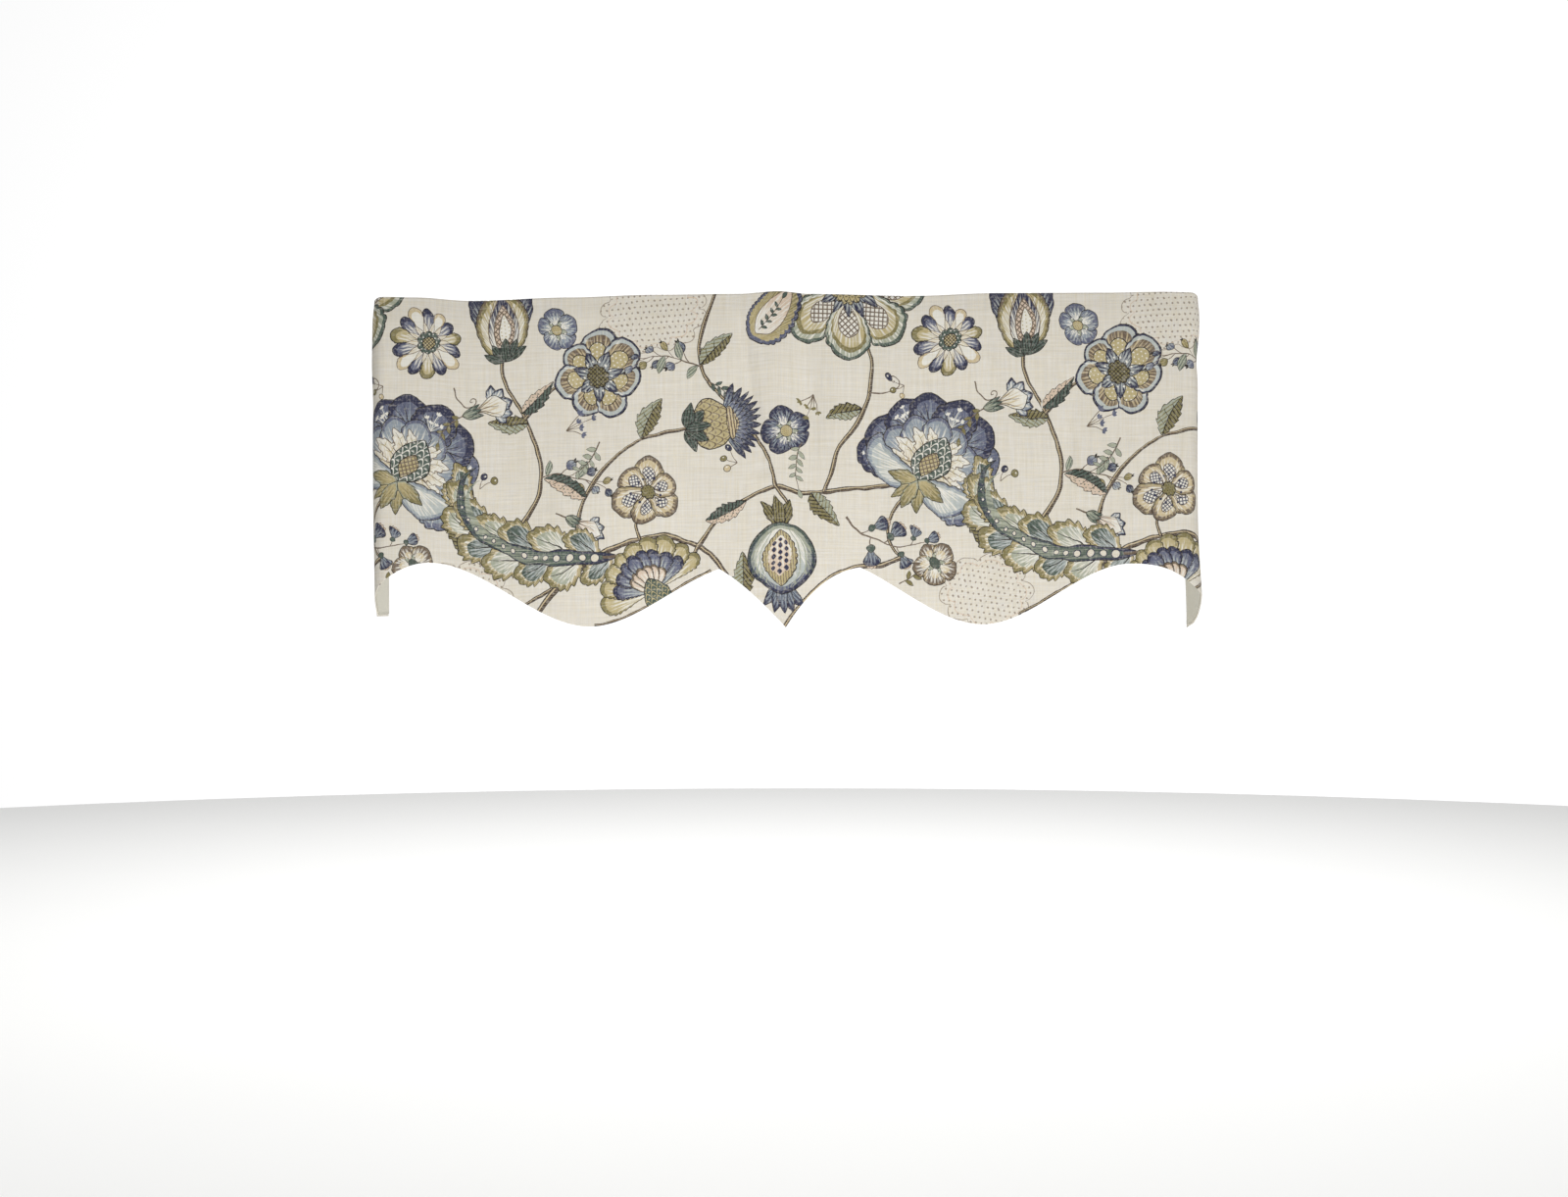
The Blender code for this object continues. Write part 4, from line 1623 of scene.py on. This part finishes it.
def edge_sides(triangles: Array) -> tuple[Array, Array]:
    """Each edge of the triangles, and the triangles on its two sides, or -1 for none."""
    sides = np.sort(np.concatenate([triangles[:, k] for k in ([0, 1], [1, 2], [2, 0])]), axis=1)
    owner = np.tile(np.arange(len(triangles)), 3)
    edges, place = np.unique(sides, axis=0, return_inverse=True)
    order = np.argsort(place.ravel(), kind="stable")
    first = np.searchsorted(place.ravel()[order], np.arange(len(edges)))
    twice = np.bincount(place.ravel(), minlength=len(edges)) > 1
    both = np.full((len(edges), 2), -1)
    both[:, 0] = owner[order[first]]
    both[twice, 1] = owner[order[first[twice] + 1]]
    return edges, both


def chains(edges: Array, count: int) -> list[list[int]]:
    """Edges joined into lines that end where more or fewer than two of them meet."""
    meets: list[list[int]] = [[] for _ in range(count)]
    for first, second in edges.tolist():
        meets[first].append(second)
        meets[second].append(first)
    free = {pair for first, second in edges.tolist() for pair in ((first, second), (second, first))}
    lines = []
    starts = sorted((spot for spot in range(count) if meets[spot]), key=lambda spot: len(meets[spot]) == 2)
    for start in starts:
        for step in meets[start]:
            line = [start]
            while step is not None and (line[-1], step) in free:
                free -= {(line[-1], step), (step, line[-1])}
                line.append(step)
                ahead = [spot for spot in meets[step] if (step, spot) in free]
                step = ahead[0] if len(meets[step]) == 2 and ahead else None
            if len(line) > 1:
                lines.append(line)
    return lines


# --- the two cloths


def read(items: object, key: str, width: int = 1, kind: type = float) -> Array:
    """A number or vector of each of a mesh's items."""
    values = np.zeros(len(items) * width, kind)
    items.foreach_get(key, values)
    return values.reshape(-1, width) if width > 1 else values


def set_points(mesh: Mesh, points: Array) -> None:
    """Move a mesh's vertices."""
    mesh.vertices.foreach_set("co", points.astype(np.float32).ravel())
    mesh.update()


def set_map(mesh: Mesh, place: Array) -> None:
    """Give a mesh's corners their places on the flat cloth, in metres, as the map Cloth."""
    both = np.stack([place.real, place.imag], axis=1)
    mesh.uv_layers.new(name="Cloth").data.foreach_set("uv", both.astype(np.float32).ravel())


def mesh_of(bm: BMesh, name: str, material: Material) -> Mesh:
    """A smooth mesh made of a bmesh, which is freed."""
    mesh = bpy.data.meshes.new(name)
    bm.to_mesh(mesh)
    bm.free()
    mesh.materials.append(material)
    mesh.shade_smooth()
    return mesh


def add_object(name: str, data: bpy.types.ID) -> Object:
    """A new object at the origin."""
    piece = bpy.data.objects.new(name, data)
    bpy.context.scene.collection.objects.link(piece)
    return piece


@dataclass
class FaceCloth:
    """The printed face: one sheet, cut flat and then hung, its top turned to the back."""

    form: ClothForm
    patches: list[Patch]
    grid: float = 6.0
    back_grid: float = 14.0
    fold_rows: int = 9
    fold_step: float = 1.5
    roll_steps: int = 4
    drawn_slack: float = 0.10
    seen_slack: float = 0.06
    longest: float = 5.0
    probe: float = 0.0003
    deepest: float = 470
    hem_points: int = 500
    side_points: int = 90
    top_points: int = 210
    corner_columns: int = 12
    name: str = "printed_face"

    @property
    def roll(self) -> float:
        """Radius of the rolled edge, in mm."""
        return self.form.face_thick / 2 / MM

    @property
    def heading_end(self) -> float:
        """How far the turned heading reaches over the back, in mm from the crest."""
        return self.form.heading_end / MM

    def outline(self) -> Array:
        """The flat sheet's outline, in mm, inside its rolled edge."""
        half, top = self.form.half / MM, 1j * self.heading_end
        knots = np.array([point.along for point in HEM if point.slope_before != point.slope_after])
        along = np.linspace(-half, half, self.hem_points)
        along = along[np.abs(along[:, None] - knots).min(axis=1) > self.roll]
        along = np.sort(np.concatenate([along, knots[np.abs(knots) < half - self.roll]]))
        lower = along - 1j * self.form.hem_cut(along * MM) / MM
        side = np.linspace(0.0, 1.0, self.side_points)[1:-1]
        right = lower[-1] + (half + top - lower[-1]) * side
        upper = np.linspace(half, -half, self.top_points) + top
        left = (top - half) + (lower[0] - top + half) * side
        return grown(np.concatenate([lower, right, upper, left]), -self.roll)

    def rows(self) -> Array:
        """Heights of the grid's rows on the flat sheet, in mm, closer at the fold."""
        quarter = self.form.quarter_fold / MM
        lower = -np.arange(quarter + self.fold_step, self.deepest, self.grid)
        upper = np.arange(quarter + self.fold_step, self.heading_end, self.grid)
        return np.concatenate([lower, np.linspace(-quarter, quarter, self.fold_rows), upper])

    def columns(self) -> Array:
        """Places of the grid's columns along the flat sheet, in mm, closer at the corners."""
        front, corner, half = self.form.front_flat / MM, self.form.corner_end / MM, self.form.half / MM
        right = np.concatenate([np.arange(0, front - 2, self.grid),
                                np.linspace(front, corner, self.corner_columns),
                                np.arange(corner + self.grid, half, self.grid)])
        return np.concatenate([-right[:0:-1], right])

    def owners(self, cut: Cut, outline: Array) -> Array:
        """The uppermost patch in each triangle: its number, -1 for bare cloth, -2 for none."""
        centres = cut.spots[cut.triangles].mean(axis=1)
        owner = np.where(inside(outline, centres), -1, -2)
        for number, patch in enumerate(self.patches):
            edge = patch.outline
            near = (centres.real > edge.real.min()) & (centres.real < edge.real.max()) & (owner > -2)
            near &= (centres.imag > edge.imag.min()) & (centres.imag < edge.imag.max())
            near = np.flatnonzero(near)
            owner[near[inside(edge, centres[near])]] = number
        return owner

    def seen_lines(self, outline: Array) -> list[Array]:
        """The lines between colours that show on the cut cloth, and its own outline."""
        loops = [simplified(np.append(patch.outline, patch.outline[0]), self.drawn_slack)[:-1]
                 for patch in self.patches]
        cut = cut_flat(*joined([outline, *loops], closed=True))
        known: dict[object, int] = {}
        look = [known.setdefault(patch.ink if patch.fill is PLAIN else number, number)
                for number, patch in enumerate(self.patches)]
        seen = np.array([*look, -2, -1])[self.owners(cut, outline)]
        edges, sides = edge_sides(cut.triangles)
        differs = seen[sides[:, 0]] != np.where(sides[:, 1] < 0, -2, seen[sides[:, 1]])
        return [self.stepped(simplified(cut.spots[line], self.seen_slack))
                for line in chains(edges[differs], len(cut.spots))]

    def stepped(self, line: Array) -> Array:
        """A line with its long steps divided, more finely at the fold."""
        pieces = [line[:1]]
        for start, end in zip(line[:-1], line[1:]):
            at_fold = min(abs(start.imag), abs(end.imag)) < 2 * self.form.quarter_fold / MM
            count = math.ceil(abs(end - start) / (self.fold_step if at_fold else self.longest))
            pieces.append(start + (end - start) * np.arange(1, count + 1) / count)
        return np.concatenate(pieces)

    def grid_spots(self, rows: Array, columns: Array) -> Array:
        """The spots where rows and columns cross."""
        across, height = np.meshgrid(columns, rows)
        return (across + 1j * height).ravel()

    def build(self, material: Material) -> Object:
        """Build the sheet with its print, its rolled edge and its back.

        Args:
            material: the printed cloth.

        Returns:
            The finished object.
        """
        outline = self.outline()
        spots, pairs = joined(self.seen_lines(outline), closed=False)
        grid = self.grid_spots(self.rows(), self.columns())
        cut = cut_flat(np.concatenate([spots, grid]), pairs)
        owner = self.owners(cut, outline)
        bm = bmesh.new()
        bm.faces.layers.int.new("patch")
        bm.verts.layers.float_vector.new("way")
        self.add_layer(bm, cut.kept(owner > -2), owner[owner > -2], 0)
        self.add_back(bm, self.roll_edge(bm))
        bmesh.ops.triangulate(bm, faces=[face for face in bm.faces if len(face.verts) > 3])
        mesh = mesh_of(bm, self.name, material)
        self.hang(mesh)
        return add_object(self.name, mesh)

    def add_layer(self, bm: BMesh, cut: Cut, owner: Array, depth: float) -> None:
        """Add flat triangles at a depth, the patch that each one shows kept on it."""
        patch = bm.faces.layers.int["patch"]
        verts = {spot: bm.verts.new((cut.spots[spot].real, cut.spots[spot].imag, -depth))
                 for spot in np.unique(cut.triangles).tolist()}
        for corners, number in zip(cut.triangles.tolist(), owner.tolist()):
            bm.faces.new([verts[spot] for spot in corners])[patch] = number
        if depth:
            faces = {face for vert in verts.values() for face in vert.link_faces}
            bmesh.ops.reverse_faces(bm, faces=list(faces))

    def roll_edge(self, bm: BMesh) -> list[BMEdge]:
        """Extrude the edge of the flat sheet down, a step for each part of its roll.

        Args:
            bm: the flat sheet.

        Returns:
            The edges along the end of the roll.
        """
        way = bm.verts.layers.float_vector["way"]
        rim = [edge for edge in bm.edges if edge.is_boundary]
        for vert in {vert for edge in rim for vert in edge.verts}:
            out = Vector()
            for loop in (edge.link_loops[0] for edge in vert.link_edges if edge.is_boundary):
                along = loop.link_loop_next.vert.co - loop.vert.co
                out += Vector((along.y, -along.x, 0)).normalized()
            vert[way] = out.normalized()
        for _ in range(self.roll_steps):
            made = bmesh.ops.extrude_edge_only(bm, edges=rim)["geom"]
            new = [item for item in made if isinstance(item, BMVert)]
            bmesh.ops.translate(bm, verts=new, vec=(0, 0, -1))
            rim = [item for item in made if isinstance(item, BMEdge) and item.is_boundary]
        return rim

    def add_back(self, bm: BMesh, rim: list[BMEdge]) -> None:
        """Close the sheet with its unprinted back, cut more coarsely."""
        number = {vert: place for place, vert in enumerate({vert: 0 for edge in rim for vert in edge.verts})}
        edge_spots = np.array([complex(vert.co.x, vert.co.y) for vert in number])
        pairs = np.array([[number[vert] for vert in edge.verts] for edge in rim])
        loop = edge_spots[max(chains(pairs, len(number)), key=len)[:-1]]
        rows, columns = self.rows(), self.columns()
        every = int(self.back_grid / self.grid)
        grid = self.grid_spots(rows[::every], columns[::every])
        fold = self.grid_spots(rows[np.abs(rows) < 1.1 * self.form.quarter_fold / MM], columns[::every])
        grid = np.concatenate([grid, fold])
        grid = grid[inside(grown(loop, -self.roll), grid)]
        cut = cut_flat(np.concatenate([edge_spots, grid]), pairs)
        within = inside(loop, cut.spots[cut.triangles].mean(axis=1))
        self.add_layer(bm, cut.kept(within), np.full(within.sum(), -1), self.roll_steps)
        low = [vert for vert in bm.verts if vert.co.z < 0.5 - self.roll_steps]
        bmesh.ops.remove_doubles(bm, verts=low, dist=0.001)

    def hang(self, mesh: Mesh) -> None:
        """Hang the flat sheet on its form, and dress it with its print."""
        flat, way = read(mesh.vertices, "co", 3), read(mesh.attributes["way"].data, "vector", 3)
        turn = -flat[:, 2] / self.roll_steps * math.pi
        along, cut = flat[:, 0] * MM, -flat[:, 1] * MM
        out = self.form.normal(along, cut)
        edge = (self.form.place(along + self.probe * way[:, 0], cut - self.probe * way[:, 1])
                - self.form.place(along, cut))
        edge -= out * np.sum(edge * out, axis=1, keepdims=True)
        edge /= np.maximum(np.linalg.norm(edge, axis=1, keepdims=True), 1e-12)
        facing = out * np.cos(turn)[:, None] + edge * np.sin(turn)[:, None]
        set_points(mesh, self.form.place(along, cut) + (facing - out) * self.roll * MM)
        unrolled = flat[:, :2] + way[:, :2] * (self.roll * turn)[:, None]
        self.print_on(mesh, unrolled[:, 0] + 1j * unrolled[:, 1])
        mesh.normals_split_custom_set_from_vertices(facing)

    def print_on(self, mesh: Mesh, flat: Array) -> None:
        """Give each face its two inks, and each corner its place on the cloth and in the pattern.

        Args:
            mesh: the hung sheet, with the patch that each face shows.
            flat: each vertex's place on the flat cloth, in mm.
        """
        patch = read(mesh.attributes["patch"].data, "value", kind=int)
        bare = Patch(np.zeros(1), GROUND, GROUND, PLAIN, 0j, 0j, False)
        looks = [*self.patches, bare]
        for label, colours in (("ink", [linear(look.ink.value) for look in looks]),
                               ("tint", [linear(look.tint.value, look.measure / 100) for look in looks])):
            layer = mesh.attributes.new(label, "FLOAT_COLOR", "FACE")
            layer.data.foreach_set("color", np.array(colours)[patch].ravel())
        place = flat[read(mesh.loops, "vertex_index", kind=int)]
        rows = np.array([(look.unit, look.shift, look.flip, look.fill.value) for look in looks])
        unit, shift, flip, fill = rows[np.repeat(patch, 3)].T
        spot = np.where(flip.real, np.conj(place), place) * unit + shift
        pattern = np.stack([spot.real, spot.imag, fill.real], axis=1)
        mesh.attributes.new("pattern", "FLOAT_VECTOR", "CORNER").data.foreach_set("vector", pattern.ravel())
        set_map(mesh, place * MM)
        for label in ("patch", "way"):
            mesh.attributes.remove(mesh.attributes[label])

    def flat_size(self) -> Triple:
        """The cut's width, length and area, in metres."""
        outline = grown(self.outline(), self.roll) * MM
        area = abs(np.sum((np.conj(outline) * np.roll(outline, -1)).imag)) / 2
        return float(np.ptp(outline.real)), float(np.ptp(outline.imag)), float(area)


@dataclass
class Lining:
    """The plain lining behind the face, a little shorter and with soft slack in it."""

    form: ClothForm
    across: int = 320
    updown: int = 64
    slack: float = 0.0012
    quiet_top: float = 0.045
    ease_top: float = 0.06
    ease_hem: float = 0.05
    ease_side: float = 0.04
    name: str = "plain_lining"

    def build(self, material: Material) -> Object:
        """Build the lining from a flat grid, hung behind the face and then thickened.

        Args:
            material: the lining cloth.

        Returns:
            The finished object.
        """
        bm = bmesh.new()
        bmesh.ops.create_grid(bm, x_segments=self.across, y_segments=self.updown, size=1.0)
        mesh = mesh_of(bm, self.name, material)
        across, height, _ = read(mesh.vertices, "co", 3).T
        form = self.form
        along, long = self.spread(across)
        down = form.lining_top + (1 - height) / 2 * long
        inset = form.face_thick + form.piece_gap + self.pucker(along, down, long)
        x, y = form.plan(along, inset - form.relief(along, down))
        set_points(mesh, np.stack([x, y, form.top(along) - down], axis=1))
        set_map(mesh, (along - 1j * down)[read(mesh.loops, "vertex_index", kind=int)])
        piece = add_object(self.name, mesh)
        thick = piece.modifiers.new("thickness", "SOLIDIFY")
        thick.thickness = form.lining_thick
        thick.offset = -1.0
        return piece

    def spread(self, across: Array) -> tuple[Array, Array]:
        """Places along the cloth, from -1 to 1 across it, and the lining's length at each."""
        form = self.form
        along = across * (form.half - form.lining_short)
        return along, form.hem(along) + form.top(along) - form.lining_short - form.lining_top

    def pucker(self, along: Array, down: Array, long: Array) -> Array:
        """How far the lining stands off the face: nowhere at its edges and under the heading."""
        free = ease((down - self.quiet_top) / self.ease_top) * ease((long - down) / self.ease_hem)
        free = free * ease((self.form.half - np.abs(along)) / self.ease_side)
        wave = [noise.noise(Vector((a * 9, d * 2.2, 4.0))) for a, d in zip(along.tolist(), down.tolist())]
        return self.slack * free * (1 + 1.5 * np.array(wave))

    def flat_size(self) -> Triple:
        """The cut's width, length and area, in metres."""
        along, long = self.spread(np.linspace(-1, 1, 2001))
        return float(np.ptp(along)), float(long.max()), float(np.mean(long) * np.ptp(along))


@dataclass
class SlipStitches:
    """The small hand stitches that hold the turned heading to the lining, seen from behind."""

    form: ClothForm
    pitch: float = 0.011
    length: float = 0.0046
    thread: float = 0.00032
    lean: float = 0.35
    stray: float = 0.0009
    below_edge: float = 0.0004
    sunk_heading: float = 0.0011
    sunk_lining: float = 0.0022
    name: str = "slip_stitches"

    def build(self, material: Material) -> Object:
        """Build the stitches: a short bent thread each, drawn out from a small sphere.

        Args:
            material: the thread.

        Returns:
            The finished object.
        """
        bm = bmesh.new()
        count = int(2 * (self.form.half - 0.01) / self.pitch)
        for place in range(count):
            along = (place - (count - 1) / 2) * self.pitch
            along += self.stray * noise.noise(Vector((place * 1.7, 2.0, 0.0)))
            self.add_stitch(bm, along, place)
        return add_object(self.name, mesh_of(bm, self.name, material))

    def add_stitch(self, bm: BMesh, along: float, place: int) -> None:
        """Add one stitch over the heading's edge, dipping into the cloth at both ends."""
        made = bmesh.ops.create_uvsphere(bm, u_segments=6, v_segments=9, radius=1.0)["verts"]
        lean = self.lean + 0.15 * noise.noise(Vector((place * 0.9, 0.0, 7.0)))
        end = -self.form.heading_end
        out = Vector(self.form.normal(np.array(along), np.array(end + 0.004)))
        for vert in made:
            share = vert.co.z / 2
            spread = vert.co.x * self.thread + share * self.length * math.sin(lean)
            cut = end - self.below_edge + share * self.length * math.cos(lean)
            at = Vector(self.form.place(np.array(along + spread), np.array(cut)))
            sunk = (2 * share) ** 2 * (self.sunk_heading if share > 0 else self.sunk_lining)
            vert.co = at + out * (vert.co.y * self.thread + self.thread - sunk)


# --- studio


@dataclass(frozen=True)
class Lamp:
    """A large soft area light, which may light the valance alone."""

    name: str
    place: Triple
    target: Triple
    power: float
    size: float
    valance_only: bool = False

    def build(self, valance: Sequence[Object]) -> None:
        """Build the light."""
        light = bpy.data.lights.new(self.name, "AREA")
        light.energy = self.power
        light.shape = "DISK"
        light.size = self.size
        lamp = add_object(self.name, light)
        if self.valance_only:
            lit = bpy.data.collections.new(f"lit_by_{self.name}")
            for piece in valance:
                lit.objects.link(piece)
            lamp.light_linking.receiver_collection = lit
        lamp.location = self.place
        lamp.rotation_euler = (Vector(self.target) - Vector(self.place)).to_track_quat("-Z", "Y").to_euler()


@dataclass(frozen=True)
class Studio:
    """A pale floor far below the valance, soft light and the camera."""

    floor_drop: float = 1.30
    floor_reach: float = 7.0
    world: float = 0.36
    world_front: float = 0.52
    world_lean: Triple = (0.10, 0.25, 0.0)
    camera_place: Triple = (0.040, -2.703, -0.403)
    lens: float = 47.1
    shift: float = -0.0206
    lamps: tuple[Lamp, ...] = (
        Lamp("side_light", (5.0, -3.2, 0.4), (0.0, 0.0, -0.2), 55.0, 1.4),
        Lamp("low_light", (0.0, -1.45, -1.0), (0.0, 0.0, -0.36), 15.55, 0.5, True),
        Lamp("floor_light", (0.0, 3.0, 3.0), (0.0, 3.4, -1.3), 215.0, 5.0),
    )

    def build(self, finish: PlainFinish, valance: Sequence[Object]) -> None:
        """Build the floor, the lights, the world and the camera."""
        bm = bmesh.new()
        bmesh.ops.create_circle(bm, cap_ends=True, segments=96, radius=self.floor_reach)
        bmesh.ops.translate(bm, verts=bm.verts, vec=(0, 0, -self.floor_drop))
        mesh = mesh_of(bm, "floor", finish.build())
        add_object("floor", mesh)
        for lamp in self.lamps:
            lamp.build(valance)
        self.add_world()
        bpy.context.scene.view_settings.view_transform = "Standard"
        self.add_camera()

    def add_world(self) -> None:
        """Add a pale world, dimmer to the sides and above than before and behind the valance."""
        world = bpy.data.worlds.new("pale_studio")
        world.use_nodes = True
        nodes = Nodes(world.node_tree)
        way = nodes.add("SeparateXYZ", {0: nodes.add("TexCoord").outputs["Generated"]}).outputs
        light = nodes.line(nodes.times(way[1], way[1]), self.world_front, self.world)
        for axis, lean in enumerate(self.world_lean):
            light = nodes.line(way[axis], lean, light)
        nodes.fill(nodes.tree.nodes["Background"], {"Strength": light, "Color": (1.0, 1.0, 1.0, 1.0)})
        bpy.context.scene.world = world

    def add_camera(self) -> None:
        """Add the camera, level and square to the front as in the photograph."""
        camera = bpy.data.cameras.new("camera")
        camera.lens = self.lens
        camera.shift_x = self.shift
        holder = add_object("camera", camera)
        holder.location = self.camera_place
        holder.rotation_euler = (math.pi / 2, 0, 0)
        bpy.context.scene.camera = holder


# --- the whole valance


def main() -> None:
    """Build the cloths, dress them and set the studio."""
    logging.basicConfig(level=logging.INFO, format="%(name)s: %(message)s")
    form = ClothForm()
    weave, pattern = WeaveGroup().build(), PatternGroup().build()
    patches = Print().draw()
    LOG.info("print: %d shapes", len(patches))

    face_maker = FaceCloth(form, patches)
    face = face_maker.build(PrintedCloth().build(weave, pattern))
    lining_maker = Lining(form)
    lining = lining_maker.build(LiningCloth().build(weave))
    stitches = SlipStitches(form).build(Thread().build())
    for piece in (face, lining, stitches):
        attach(piece, "root")
        LOG.info("%s: %d faces", piece.name, len(piece.data.polygons))
    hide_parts("face_cloth")
    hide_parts("lining")
    width, length, area = face_maker.flat_size()
    LOG.info("face cut: %.4f by %.4f m, %.4f square metres", width, length, area)
    width, length, area = lining_maker.flat_size()
    LOG.info("lining cut: %.4f by %.4f m, %.4f square metres", width, length, area)

    Studio().build(PlainFinish(), (face, lining, stitches))


if __name__ == "__main__":
    main()
